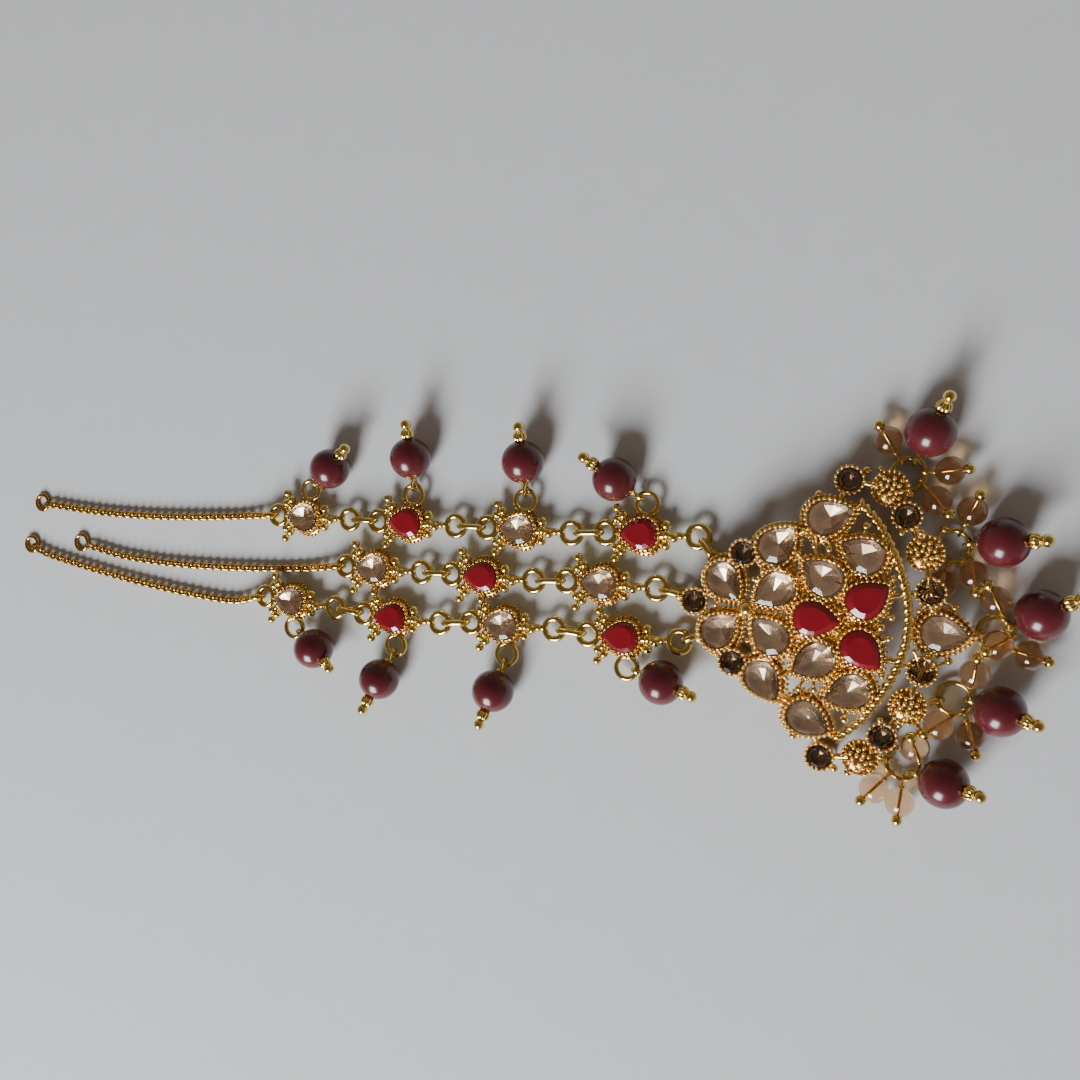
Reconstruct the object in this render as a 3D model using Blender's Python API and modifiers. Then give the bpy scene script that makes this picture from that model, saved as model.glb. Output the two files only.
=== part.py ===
"""Matha patti: a domed openwork pendant that hangs on three strands of stone-set plaques.

The jewel lies on a flat surface. X runs along the strands towards the pendant, Y across them,
Z up. Lengths are metres; tables are in millimetres and are multiplied by MM.
"""
import math
from collections import namedtuple

import bmesh
import bpy
from mathutils import Matrix, Vector

MM = 0.001

# Clearances
FIT = 0.2 * MM              # round a stone in its pocket
RUN = 0.3 * MM              # between wires that hook through each other

# Faces round each kind of piece
PEAR_SIDES = 10
ROUND_SIDES = 10
CHATON_SIDES = 8
RING_SIDES = 10
WIRE_SIDES = 5
END_WIRE_SIDES = 6
SOLDER_SIDES = 4
EYE_SIDES = 8

# Pear stones and their bezels
PEAR_LENGTH = 7.4 * MM
PEAR_WIDTH = 5.9 * MM
PEAR_POINT = 0.7            # higher is more pointed
PEAR_CROWN = 1.1 * MM
PEAR_BELLY = 1.0 * MM
GIRDLE_DROP = 0.2 * MM      # girdle of a stone under its bezel's rim
BEZEL_WALL = 0.7 * MM
CUP_DEPTH = 2.3 * MM
TABLE_SHARE = 0.6
FOOT_SHARE = 0.93           # bottom of a cup against its rim

# Round chatons
CHATON_RADIUS = 2.0 * MM
CHATON_WALL = 0.5 * MM
CHATON_CROWN = 0.45 * MM
CHATON_DEPTH = 1.3 * MM     # of those that don't stand on the surface

# Dome of the pendant: height of the rims over the surface
DOME_RIM = 5.7 * MM
DOME_RISE = 3.7 * MM
DOME_CENTRE = 20.5 * MM
DOME_HALF_LENGTH = 20.5 * MM
DOME_HALF_WIDTH = 24.0 * MM
TILT_SHARE = 0.6            # how far the cups lean with the dome

# Pendant trim
SOLDER_RADIUS = 0.5 * MM
ROPE_RADIUS = 0.6 * MM
ROPE_STEP = 4.6 * MM
HUB_RADIUS = 1.3 * MM
CLUSTER_RADIUS = 3.0 * MM
CLUSTER_DEPTH = 1.5 * MM

# Pendant on the surface
APEX_X = 29.2 * MM
APEX_Y = -10.2 * MM
PENDANT_TURN = math.radians(-5.7)

# Strand plaques
PLAQUE_LENGTH = 7.0 * MM
PLAQUE_WIDTH = 5.8 * MM
PLAQUE_DEPTH = 2.0 * MM
PLAQUE_RIM = 3.0 * MM       # height of the bezel's rim
PLAQUE_CROWN = 0.9 * MM
PLAQUE_PITCH = 23.7 * MM
SHANK_RADIUS = 1.3 * MM     # where the loop's shank leaves the bezel
LOOP_HEIGHT = 2.0 * MM
LOOP_RADIUS = 2.0 * MM
LOOP_WIRE = 0.48 * MM
LOOP_LEFT = 6.3 * MM
LOOP_RIGHT = 10.8 * MM
SIDE_LOOP_X = 1.3 * MM
SIDE_LOOP_Y = 5.5 * MM
SIDE_LOOP_RADIUS = 2.0 * MM
SIDE_LOOP_WIRE = 0.4 * MM

# Oval jump links
LINK_HEIGHT = 3.2 * MM
LINK_WIRE = 0.38 * MM
EYE_RADIUS = 1.0 * MM
EYE_WIRE = 0.3 * MM

# Chains
CHAIN_RADIUS = 0.9 * MM
CHAIN_STEP = 5.4 * MM
END_RING_RADIUS = 1.75 * MM
END_RING_WIRE = 0.45 * MM

# Bead drops
BEAD_RADIUS = 4.0 * MM
BEAD_REACH = 5.5 * MM       # from the middle of the eye to the middle of the bead
COLLAR_RADIUS = 1.15 * MM
COLLAR_LENGTH = 2.0 * MM
BALL_RADIUS = 1.0 * MM
SMALL_BEAD_RADIUS = 2.4 * MM
SMALL_BEAD_REACH = 3.9 * MM
SMALL_BALL_RADIUS = 0.8 * MM
COLLAR_SEAT = 0.97          # of the bead's radius, where its collar starts
BALL_SEAT = 0.8             # of the ball's radius, from the collar's end to its middle
SMALL_BALL_SEAT = 0.6
KNOB_SHARE = 1.9            # wire wrapped on a fringe ring, of the ring's wire

# Rings of the fringe
FRINGE_RADIUS = 2.6 * MM
FRINGE_WIRE = 0.42 * MM
FRINGE_HEIGHT = 1.3 * MM

# Settings of the pendant on one side of its axis, u along the axis and v across it.
# Each is mirrored unless v is 0. tip is the way that a pear points, in degrees from +u.
# A foot is a chaton whose cup reaches down to the surface.
Setting = namedtuple("Setting", "name kind u v tip")
SETTINGS = [
    Setting("apex", "foot", 0.0, 0.0, 0),
    Setting("wing", "clear", 5.3, 4.05, -45),
    Setting("petal", "clear", 13.7, 3.65, 220),
    Setting("shoulder", "foot", 7.9, 9.3, 0),
    Setting("flank", "clear", 13.55, 11.5, 50),
    Setting("heart", "red", 21.0, 0.0, 0),
    Setting("side", "clear", 21.15, 7.0, 144),
    Setting("corner", "clear", 21.3, 16.8, 24),
    Setting("cheek", "clear", 27.0, 11.25, 155),
    Setting("fan", "red", 28.65, 4.3, 42),
    Setting("edge", "foot", 23.55, 23.0, 0),
    Setting("rim", "foot", 32.95, 18.0, 0),
    Setting("brow", "chaton", 37.8, 6.35, 0),
    Setting("outer", "cluster", 29.9, 22.2, 0),
    Setting("inner", "cluster", 36.3, 12.4, 0),
    Setting("tail", "clear", 40.5, 0.0, 0),
]

# Soldered neighbours on one side, by name; each pair is mirrored
SOLDERS = [
    ("apex", "wing"), ("wing", "hub"), ("petal", "hub"), ("petal", "heart"), ("flank", "side"),
    ("flank", "corner"), ("heart", "fan"), ("corner", "edge"), ("edge", "outer"), ("rim", "inner"),
    ("inner", "brow"), ("brow", "tail"), ("brow", "fan"),
]

# Twisted rope along the fan, half of it, u and v
ROPE_POINTS = [(25.5, 19.6), (28.9, 16.3), (31.6, 12.0), (33.8, 7.0), (34.8, 3.0), (35.0, 0.0)]

# Strands: where the plaque next to the pendant lies, the side of its drops, then each plaque's
# step aside and turn, counted back from the pendant
Strand = namedtuple("Strand", "name x y side plaques")
Plaque = namedtuple("Plaque", "y turn")
STRANDS = [
    Strand("upper", 18.4, 1.2, 1, [Plaque(0.0, -2), Plaque(0.7, -3), Plaque(1.9, -3), Plaque(3.1, -3)]),
    Strand("middle", 10.9, -7.9, 0, [Plaque(0.0, -3), Plaque(0.8, -3), Plaque(1.9, -3)]),
    Strand("lower", 15.0, -17.5, -1, [Plaque(0.0, -2), Plaque(1.3, -2), Plaque(1.9, -4), Plaque(4.5, -6)]),
]
# Way that each side drop lies, in degrees, counted back from the pendant
SIDE_DROPS = {"upper": [142, 88, 87, 36], "lower": [-16, -106, -112, -33]}

# Routes of the three chains from the plaque to the free end
CHAIN_ROUTES = {
    "upper": [(-69.5, 4.4), (-80.0, 4.2), (-93.7, 4.4), (-108.0, 5.3), (-120.0, 6.7), (-124.3, 7.3)],
    "middle": [(-54.5, -6.4), (-69.6, -6.6), (-85.6, -6.1), (-99.5, -4.8), (-108.0, -3.1), (-112.6, -2.0)],
    "lower": [(-72.3, -13.6), (-85.6, -12.1), (-99.5, -9.8), (-111.2, -7.4), (-123.2, -4.6), (-127.9, -2.8)],
}

# Fringe: ring places in u and v, and for each drop where it hooks on the ring, which way it
# lies (both in degrees from +u) and how far its bead is lifted off the surface
Bunch = namedtuple("Bunch", "name u v holder side drops")
Drop = namedtuple("Drop", "bead hook heading lift")
BUNCHES = [
    Bunch("bunch_1", 32.3, 24.8, "outer", 1, [
        Drop("maroon", 70, 68, 0.0), Drop("clear", 125, 125, 0.0),
        Drop("clear", 10, 10, 0.0), Drop("clear", -30, -45, 0.3)]),
    Bunch("bunch_2", 40.3, 13.8, "inner", 1, [
        Drop("maroon", 15, 10, 0.0), Drop("clear", 70, 70, 0.0),
        Drop("clear", -15, -75, 0.4), Drop("clear", -100, -100, 0.0)]),
    Bunch("bunch_3", 47.9, 0.7, "tail", 1, [
        Drop("maroon", 30, 35, 0.0), Drop("clear", 60, 120, 0.5),
        Drop("clear", -5, -150, 1.9), Drop("clear", -50, -10, 0.2)]),
    Bunch("bunch_4", 43.1, -10.7, "inner", -1, [
        Drop("maroon", 2, -6, 0.9), Drop("clear", 27, 87, 0.6),
        Drop("clear", -50, -68, 0.0), Drop("clear", -75, -145, 1.2)]),
    Bunch("bunch_5", 36.5, -22.6, "outer", -1, [
        Drop("maroon", -30, 0, 0.8), Drop("clear", 26, 109, 1.8),
        Drop("clear", -82, -92, 0.4), Drop("clear", -130, -130, 0.3)]),
]

# Finish: colour, metallic, roughness
FINISHES = {
    "gold": ((0.80, 0.52, 0.20, 1.0), 1.0, 0.28),
    "clear_stone": ((0.62, 0.44, 0.36, 1.0), 0.0, 0.05),
    "red_stone": ((0.36, 0.01, 0.02, 1.0), 0.0, 0.12),
    "maroon_bead": ((0.17, 0.01, 0.03, 1.0), 0.0, 0.12),
}


def clear_file():
    """Remove the objects of the file that is open."""
    for item in list(bpy.data.objects):
        bpy.data.objects.remove(item, do_unlink=True)


def new_collection(name):
    """Collection of its own under the scene."""
    group = bpy.data.collections.new(name)
    bpy.context.scene.collection.children.link(group)
    return group


def finish(name):
    """Principled material of one finish."""
    found = bpy.data.materials.get(name)
    if found:
        return found
    colour, metallic, roughness = FINISHES[name]
    material = bpy.data.materials.new(name)
    material.use_nodes = True
    shader = material.node_tree.nodes["Principled BSDF"]
    shader.inputs["Base Color"].default_value = colour
    shader.inputs["Metallic"].default_value = metallic
    shader.inputs["Roughness"].default_value = roughness
    material.diffuse_color = colour
    return material


def mesh_of(shape, name):
    """Mesh from a bmesh, faces pointing out."""
    bmesh.ops.recalc_face_normals(shape, faces=shape.faces)
    mesh = bpy.data.meshes.new(name)
    shape.to_mesh(mesh)
    shape.free()
    return mesh


def teardrop(turn):
    """Point of a pear outline that fills -1 to 1, tip at +X."""
    widest = math.sqrt((1.0 + PEAR_POINT) / (2.0 + PEAR_POINT))
    reach = 2.0 * widest ** (1.0 + PEAR_POINT) * math.sqrt(1.0 - widest ** 2)
    return math.cos(turn), math.sin(turn) * abs(math.sin(turn / 2.0)) ** PEAR_POINT / reach


def oval(turn):
    """Point of the unit circle."""
    return math.cos(turn), math.sin(turn)


def stack(levels, sides, outline):
    """Solid through flat outlines, each with its half length, half width and height."""
    shape = bmesh.new()
    bmesh.ops.create_circle(shape, cap_ends=True, radius=1.0, segments=sides)
    turns = shape.verts.layers.float.new("turn")
    for vert in shape.verts:
        vert[turns] = math.atan2(vert.co.y, vert.co.x) - math.pi / 2.0
    shape.faces.ensure_lookup_table()
    top = shape.faces[0]
    for step, (half_length, half_width, height) in enumerate(levels):
        if step:
            made = bmesh.ops.extrude_face_region(shape, geom=[top])
            if step > 1:
                bmesh.ops.delete(shape, geom=[top], context="FACES_ONLY")
            top = next(item for item in made["geom"] if isinstance(item, bmesh.types.BMFace))
        for vert in top.verts:
            x, y = outline(vert[turns])
            vert.co = (x * half_length, y * half_width, height)
    return mesh_of(shape, "stack")


def bar(start, end, radius, sides=SOLDER_SIDES, end_radius=None):
    """Straight wire between two points, tapered where it has an end radius."""
    way = end - start
    shape = bmesh.new()
    place = Matrix.Translation((start + end) / 2.0) @ way.to_track_quat("Z", "Y").to_matrix().to_4x4()
    bmesh.ops.create_cone(shape, cap_ends=True, segments=sides, radius1=radius,
                          radius2=end_radius or radius, depth=way.length, matrix=place)
    return mesh_of(shape, "bar")


def ball(centre, radius):
    """Small faceted ball."""
    shape = bmesh.new()
    bmesh.ops.create_uvsphere(shape, u_segments=8, v_segments=5, radius=radius,
                              matrix=Matrix.Translation(centre))
    return mesh_of(shape, "ball")


def ring(radius, wire, stretch=0.0, sides=RING_SIDES, wire_sides=WIRE_SIDES):
    """Ring of round wire about Z; stretch is the straight run that makes it oval along X."""
    bpy.ops.mesh.primitive_torus_add(major_radius=radius, minor_radius=wire,
                                     major_segments=sides, minor_segments=wire_sides)
    made = bpy.context.object
    mesh = made.data
    bpy.data.objects.remove(made)
    for vert in mesh.vertices:
        vert.co.x += math.copysign(stretch / 2.0, vert.co.x)
    return mesh


def small_eye():
    """Small ring that a jump link or a drop hooks into."""
    return ring(EYE_RADIUS, EYE_WIRE, sides=EYE_SIDES, wire_sides=SOLDER_SIDES)


def turned(profile, sides):
    """Solid turned about Z from a profile of radius and height, top to bottom."""
    mesh = bpy.data.meshes.new("profile")
    mesh.from_pydata([(radius, 0.0, height) for radius, height in profile],
                     [(step, step + 1) for step in range(len(profile) - 1)], [])
    lathe = bpy.data.objects.new("lathe", mesh)
    bpy.context.scene.collection.objects.link(lathe)
    screw = lathe.modifiers.new("turn", "SCREW")
    screw.steps = sides
    screw.render_steps = sides
    screw.use_merge_vertices = True
    screw.merge_threshold = 0.001 * MM
    made = evaluated(lathe)
    bpy.data.objects.remove(lathe)
    return made


def tube(points, radius, resolution):
    """Closed tube along points, with its caps welded."""
    curve = bpy.data.curves.new("tube", "CURVE")
    curve.dimensions = "3D"
    curve.bevel_depth = radius
    curve.bevel_resolution = resolution
    curve.use_fill_caps = True
    line = curve.splines.new("POLY")
    line.points.add(len(points) - 1)
    for knot, point in zip(line.points, points):
        knot.co = (*point, 1.0)
    made = bpy.data.objects.new("tube", curve)
    bpy.context.scene.collection.objects.link(made)
    mesh = evaluated(made)
    bpy.data.objects.remove(made)
    shape = bmesh.new()
    shape.from_mesh(mesh)
    bmesh.ops.remove_doubles(shape, verts=shape.verts, dist=0.001 * MM)
    return mesh_of(shape, "tube")


def evaluated(item):
    """Mesh of an object with its modifiers applied."""
    depsgraph = bpy.context.evaluated_depsgraph_get()
    depsgraph.update()
    return bpy.data.meshes.new_from_object(item.evaluated_get(depsgraph))


def placed(mesh, matrix):
    """The mesh moved by a matrix."""
    mesh.transform(matrix)
    return mesh


def fuse(solids, pockets=()):
    """One solid from overlapping ones, less the pockets."""
    base = bpy.data.objects.new("base", solids[0])
    CUTTERS.objects.link(base)
    groups = []
    for operation, meshes in (("UNION", solids[1:]), ("DIFFERENCE", pockets)):
        if not meshes:
            continue
        group = bpy.data.collections.new(operation.lower())
        CUTTERS.children.link(group)
        for mesh in meshes:
            group.objects.link(bpy.data.objects.new("tool", mesh))
        join = base.modifiers.new(operation.lower(), "BOOLEAN")
        join.operation = operation
        join.operand_type = "COLLECTION"
        join.collection = group
        groups.append(group)
    mesh = evaluated(base)
    for group in groups:
        for item in list(group.objects):
            bpy.data.objects.remove(item)
        bpy.data.collections.remove(group)
    bpy.data.objects.remove(base)
    shape = bmesh.new()
    shape.from_mesh(mesh)
    bmesh.ops.remove_doubles(shape, verts=shape.verts, dist=0.002 * MM)
    bmesh.ops.dissolve_degenerate(shape, edges=shape.edges, dist=0.001 * MM)
    shape.to_mesh(mesh)
    shape.free()
    return mesh


def add(name, mesh, material, parent, matrix=Matrix.Identity(4)):
    """Finished piece under its parent."""
    if not mesh.materials:
        mesh.materials.append(finish(material))
    mesh.shade_smooth()
    mesh.set_sharp_from_angle(angle=math.radians(35))
    piece = bpy.data.objects.new(name, mesh)
    PARTS.objects.link(piece)
    piece.parent = parent
    piece.matrix_basis = matrix
    return piece


def empty(name, parent=None, location=(0.0, 0.0, 0.0), turn=0.0):
    """Named empty that carries pieces."""
    holder = bpy.data.objects.new(name, None)
    PARTS.objects.link(holder)
    holder.parent = parent
    holder.location = location
    holder.rotation_euler.z = turn
    return holder


def smooth_route(points, gap):
    """Even points along the smooth curve through a route."""
    ends = [2 * points[0] - points[1]] + points + [2 * points[-1] - points[-2]]
    route = []
    for a, b, c, d in zip(ends, ends[1:], ends[2:], ends[3:]):
        steps = max(1, round((c - b).length / gap))
        for step in range(steps):
            t = step / steps
            route.append(((2 * b) + (c - a) * t + (2 * a - 5 * b + 4 * c - d) * t ** 2
                          + (3 * b - a - 3 * c + d) * t ** 3) / 2)
    return route + [points[-1]]


# Pendant

def dome(u, v):
    """Height of the dome and its lean along and across the axis."""
    along = (u - DOME_CENTRE) / DOME_HALF_LENGTH
    across = v / DOME_HALF_WIDTH
    height = DOME_RIM + DOME_RISE * (1.0 - along ** 2 - across ** 2)
    return height, -2.0 * DOME_RISE * along / DOME_HALF_LENGTH, -2.0 * DOME_RISE * across / DOME_HALF_WIDTH


def setting_place(setting, side):
    """Matrix of a setting: its rim's middle, leaning with the dome where it is a pear."""
    u, v = setting.u * MM, setting.v * side * MM
    height, slope_u, slope_v = dome(u, v)
    lean = TILT_SHARE if setting.kind in ("clear", "red") and setting.name != "tail" else 0.0
    normal = Vector((-slope_u * lean, -slope_v * lean, 1.0)).normalized()
    tilt = Vector((0.0, 0.0, 1.0)).rotation_difference(normal).to_matrix().to_4x4()
    spin = Matrix.Rotation(math.radians(setting.tip) * side, 4, "Z")
    return Matrix.Translation((u, v, height)) @ tilt @ spin


def sided_settings():
    """Every setting with its side and full name."""
    for setting in SETTINGS:
        if setting.v == 0.0:
            yield setting, 1, setting.name
        else:
            yield setting, 1, setting.name + "_left"
            yield setting, -1, setting.name + "_right"


def pear_cup():
    """Outside of a pear bezel, rim at 0."""
    length = PEAR_LENGTH / 2.0 + BEZEL_WALL
    width = PEAR_WIDTH / 2.0 + BEZEL_WALL
    return stack([(length * FOOT_SHARE, width * FOOT_SHARE, -CUP_DEPTH), (length, width, 0.0)],
                 PEAR_SIDES, teardrop)


def pear_pocket():
    """Pocket of a pear stone."""
    length = PEAR_LENGTH / 2.0 + FIT
    width = PEAR_WIDTH / 2.0 + FIT
    return stack([(length, width, -GIRDLE_DROP - PEAR_BELLY - FIT), (length, width, CUP_DEPTH)],
                 PEAR_SIDES, teardrop)


def pear_stone():
    """Faceted pear: a belly, a girdle and a crown with a flat table."""
    length = PEAR_LENGTH / 2.0
    width = PEAR_WIDTH / 2.0
    return stack([(length * TABLE_SHARE, width * TABLE_SHARE, -GIRDLE_DROP - PEAR_BELLY),
                  (length, width, -GIRDLE_DROP),
                  (length * TABLE_SHARE, width * TABLE_SHARE, PEAR_CROWN - GIRDLE_DROP)],
                 PEAR_SIDES, teardrop)


def chaton_cup(depth):
    """Round bezel with its faceted stone in it, rim at 0."""
    rim = CHATON_RADIUS + CHATON_WALL
    table = CHATON_RADIUS * TABLE_SHARE
    return stack([(rim * FOOT_SHARE, rim * FOOT_SHARE, -depth), (rim, rim, 0.0),
                  (CHATON_RADIUS, CHATON_RADIUS, -CHATON_CROWN / 2.0), (table, table, CHATON_CROWN)],
                 CHATON_SIDES, oval)


def cluster_boss():
    """Round heap of grains, as one low boss, its top at 0."""
    return stack([(CLUSTER_RADIUS, CLUSTER_RADIUS, -CLUSTER_DEPTH),
                  (CLUSTER_RADIUS, CLUSTER_RADIUS, -CLUSTER_DEPTH / 2.0),
                  (CLUSTER_RADIUS * TABLE_SHARE, CLUSTER_RADIUS * TABLE_SHARE, 0.0)],
                 CHATON_SIDES, oval)


def foot_points():
    """Low middle point of every setting, where the solder wires meet."""
    points = {}
    for setting, side, name in sided_settings():
        drop = {"cluster": CLUSTER_DEPTH, "chaton": CHATON_DEPTH}.get(setting.kind, CUP_DEPTH)
        points[name] = setting_place(setting, side) @ Vector((0.0, 0.0, -drop + SOLDER_RADIUS * 1.3))
    return points


def hub_point():
    """Where the four petals of the butterfly meet."""
    u = (SETTINGS[1].u + SETTINGS[2].u) / 2.0 * MM
    return Vector((u, 0.0, dome(u, 0.0)[0] - CUP_DEPTH + HUB_RADIUS))


def side_name(name, side, points):
    """Full name of a setting on one side."""
    if name in points:
        return name
    return name + ("_left" if side > 0 else "_right")


def solder_wires():
    """Short wires between the neighbours."""
    points = foot_points()
    points["hub"] = hub_point()
    wires = {}
    for side in (1, -1):
        for first, second in SOLDERS:
            pair = (side_name(first, side, points), side_name(second, side, points))
            wires[pair] = bar(points[pair[0]], points[pair[1]], SOLDER_RADIUS)
    crossing = bar(points["fan_left"], points["fan_right"], SOLDER_RADIUS)
    return list(wires.values()) + [crossing]


def rope():
    """Twisted rope along the fan, on the dome."""
    half = [Vector((u * MM, v * MM, dome(u * MM, v * MM)[0] - ROPE_RADIUS)) for u, v in ROPE_POINTS]
    other = [Vector((point.x, -point.y, point.z)) for point in reversed(half[:-1])]
    return tube(smooth_route(half + other, ROPE_STEP), ROPE_RADIUS, 1)


def ring_eye(hook, outward, holder):
    """Upright eye round a fringe ring's wire, with the wire that holds it."""
    turn = Matrix.Rotation(math.atan2(outward.y, outward.x), 4, "Z")
    stand = Matrix.Rotation(math.pi / 2.0, 4, "X")
    eye = placed(small_eye(), Matrix.Translation(hook) @ turn @ stand)
    return [eye, bar(hook + Vector((0.0, 0.0, EYE_RADIUS)), holder, SOLDER_RADIUS)]


def fringe_eyes():
    """Eyes of the five fringe rings."""
    points = foot_points()
    made = []
    for bunch in BUNCHES:
        holder = points[side_name(bunch.holder, bunch.side, points)]
        centre = Vector((bunch.u * MM, bunch.v * MM, FRINGE_HEIGHT))
        inward = Vector((holder.x - centre.x, holder.y - centre.y, 0.0)).normalized()
        made += ring_eye(centre + inward * FRINGE_RADIUS, inward, holder)
    return made


def strand_eye_place(strand):
    """Middle of the flat eye that a strand's last link hooks into, in the pendant's frame."""
    holder = SETTINGS[1] if strand.side else SETTINGS[0]
    centre = Vector((holder.u * MM, holder.v * strand.side * MM, LOOP_HEIGHT))
    away = PENDANT.matrix_basis.inverted() @ last_loop(strand) - centre
    away.z = 0.0
    size = PEAR_LENGTH / 2.0 + BEZEL_WALL if strand.side else CHATON_RADIUS + CHATON_WALL
    return centre + away.normalized() * (size + EYE_RADIUS / 2.0)


def strand_eyes():
    """The three flat eyes for the strands."""
    points = foot_points()
    made = []
    for strand in STRANDS:
        place = strand_eye_place(strand)
        holder = points[side_name("wing", strand.side, points) if strand.side else "apex"]
        inward = Vector((holder.x - place.x, holder.y - place.y, 0.0)).normalized()
        made.append(placed(small_eye(), Matrix.Translation(place)))
        made.append(bar(place + inward * EYE_RADIUS, holder, SOLDER_RADIUS))
    return made


def pendant_frame():
    """All the soldered metal of the pendant."""
    solids = []
    pockets = []
    for setting, side, name in sided_settings():
        place = setting_place(setting, side)
        if setting.kind == "foot":
            solids.append(placed(chaton_cup(place.translation.z), place))
        elif setting.kind == "chaton":
            solids.append(placed(chaton_cup(CHATON_DEPTH), place))
        elif setting.kind == "cluster":
            solids.append(placed(cluster_boss(), place))
        else:
            solids.append(placed(pear_cup(), place))
            pockets.append(placed(pear_pocket(), place))
    solids.append(ball(hub_point(), HUB_RADIUS))
    solids.append(rope())
    solids += solder_wires() + fringe_eyes() + strand_eyes()
    add("pendant_frame", fuse(solids, pockets), "gold", PENDANT)


def pendant_stones():
    """The pear stones of the pendant."""
    for setting, side, name in sided_settings():
        if setting.kind in ("clear", "red"):
            add("stone_" + name, pear_stone(), setting.kind + "_stone", PENDANT,
                setting_place(setting, side))


# Strands

def plaque_place(strand, index):
    """Matrix of a plaque, counted back from the pendant."""
    plaque = strand.plaques[index]
    x = strand.x * MM - PLAQUE_PITCH * index
    y = (strand.y + plaque.y) * MM
    return Matrix.Translation((x, y, 0.0)) @ Matrix.Rotation(math.radians(plaque.turn), 4, "Z")


def loop_place(strand, index, offset):
    """Middle of a plaque's end loop."""
    return plaque_place(strand, index) @ Vector((offset, 0.0, LOOP_HEIGHT))


def last_loop(strand):
    """Loop of a strand next to the pendant."""
    return loop_place(strand, 0, LOOP_RIGHT)


def plaque_mesh(side):
    """Pear bezel with its stone, its shank and end loops and, on one side, a drop loop."""
    length = PLAQUE_LENGTH / 2.0
    width = PLAQUE_WIDTH / 2.0
    cup = stack([((length + BEZEL_WALL) * FOOT_SHARE, (width + BEZEL_WALL) * FOOT_SHARE,
                  PLAQUE_RIM - PLAQUE_DEPTH),
                 (length + BEZEL_WALL, width + BEZEL_WALL, PLAQUE_RIM),
                 (length, width, PLAQUE_RIM - PLAQUE_CROWN / 4.0),
                 (length * TABLE_SHARE, width * TABLE_SHARE, PLAQUE_RIM + PLAQUE_CROWN)],
                PEAR_SIDES, teardrop)
    solids = [placed(cup, Matrix.Rotation(math.pi, 4, "Z"))]
    solids.append(bar(Vector((length, 0.0, LOOP_HEIGHT)),
                      Vector((LOOP_RIGHT - LOOP_RADIUS, 0.0, LOOP_HEIGHT)), SHANK_RADIUS,
                      SOLDER_SIDES, SOLDER_RADIUS))
    for offset in (-LOOP_LEFT, LOOP_RIGHT):
        loop = ring(LOOP_RADIUS, LOOP_WIRE, wire_sides=SOLDER_SIDES)
        solids.append(placed(loop, Matrix.Translation((offset, 0.0, LOOP_HEIGHT))))
    if side:
        loop = ring(SIDE_LOOP_RADIUS, SIDE_LOOP_WIRE, wire_sides=SOLDER_SIDES)
        place = Matrix.Translation((SIDE_LOOP_X, SIDE_LOOP_Y * side, LOOP_HEIGHT))
        solids.append(placed(loop, place))
    return fuse(solids)


def link_mesh(start, end):
    """Upright oval link whose end wires run through two points."""
    way = end - start
    radius = LINK_HEIGHT / 2.0 - LINK_WIRE
    mesh = ring(radius, LINK_WIRE, stretch=way.length - 2.0 * radius)
    stand = Matrix.Rotation(math.pi / 2.0, 4, "X")
    turn = Matrix.Rotation(math.atan2(way.y, way.x), 4, "Z")
    return placed(mesh, Matrix.Translation((start + end) / 2.0) @ turn @ stand)


def hooked(centre, towards, radius, wire):
    """Point just inside a loop, where a link's wire runs, on the side of another point."""
    way = towards - centre
    way.z = 0.0
    return centre + way.normalized() * (radius - wire - RUN - LINK_WIRE)


def strand_links(strand):
    """Links between the plaques of a strand, and from its last loop to the pendant."""
    for index in range(len(strand.plaques) - 1):
        far = loop_place(strand, index + 1, LOOP_RIGHT)
        near = loop_place(strand, index, -LOOP_LEFT)
        mesh = link_mesh(hooked(far, near, LOOP_RADIUS, LOOP_WIRE), hooked(near, far, LOOP_RADIUS, LOOP_WIRE))
        add(f"link_{strand.name}_{index + 2}", mesh, "gold", ROOT)
    far = last_loop(strand)
    near = PENDANT.matrix_basis @ strand_eye_place(strand)
    mesh = link_mesh(hooked(far, near, LOOP_RADIUS, LOOP_WIRE), hooked(near, far, EYE_RADIUS, EYE_WIRE))
    add(f"link_{strand.name}_1", mesh, "gold", ROOT)


def strand_plaques(strand):
    """Plaques of a strand, counted back from the pendant."""
    mesh = plaque_mesh(strand.side)
    for index in range(len(strand.plaques)):
        add(f"plaque_{strand.name}_{index + 1}", mesh, "gold", ROOT, plaque_place(strand, index))


def chain(strand):
    """Chain with its end ring and the link that holds the plaque."""
    loop = loop_place(strand, len(strand.plaques) - 1, -LOOP_LEFT)
    flat = [Vector((x * MM, y * MM, CHAIN_RADIUS)) for x, y in CHAIN_ROUTES[strand.name]]
    inside = hooked(loop, flat[0], LOOP_RADIUS, LOOP_WIRE)
    way = (flat[0] - inside).normalized()
    way.z = 0.0
    outside = inside + way * (2.0 * (LOOP_WIRE + RUN + LINK_WIRE) + RUN)
    route = smooth_route([Vector((outside.x, outside.y, LOOP_HEIGHT))] + flat, CHAIN_STEP)
    last = (route[-1] - route[-2]).normalized()
    ring_centre = route[-1] + last * END_RING_RADIUS
    lift = END_RING_WIRE
    end_ring = placed(ring(END_RING_RADIUS, END_RING_WIRE, wire_sides=END_WIRE_SIDES),
                      Matrix.Translation((ring_centre.x, ring_centre.y, lift)))
    mesh = fuse([tube(route, CHAIN_RADIUS, 2), link_mesh(inside, outside), end_ring])
    add("chain_" + strand.name, mesh, "gold", ROOT)


# Bead drops

def bead_rows(centre, radius, angles):
    """Rows of a round bead at angles from its top."""
    return [(radius * math.sin(math.radians(angle)), centre + radius * math.cos(math.radians(angle)))
            for angle in angles]


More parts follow.
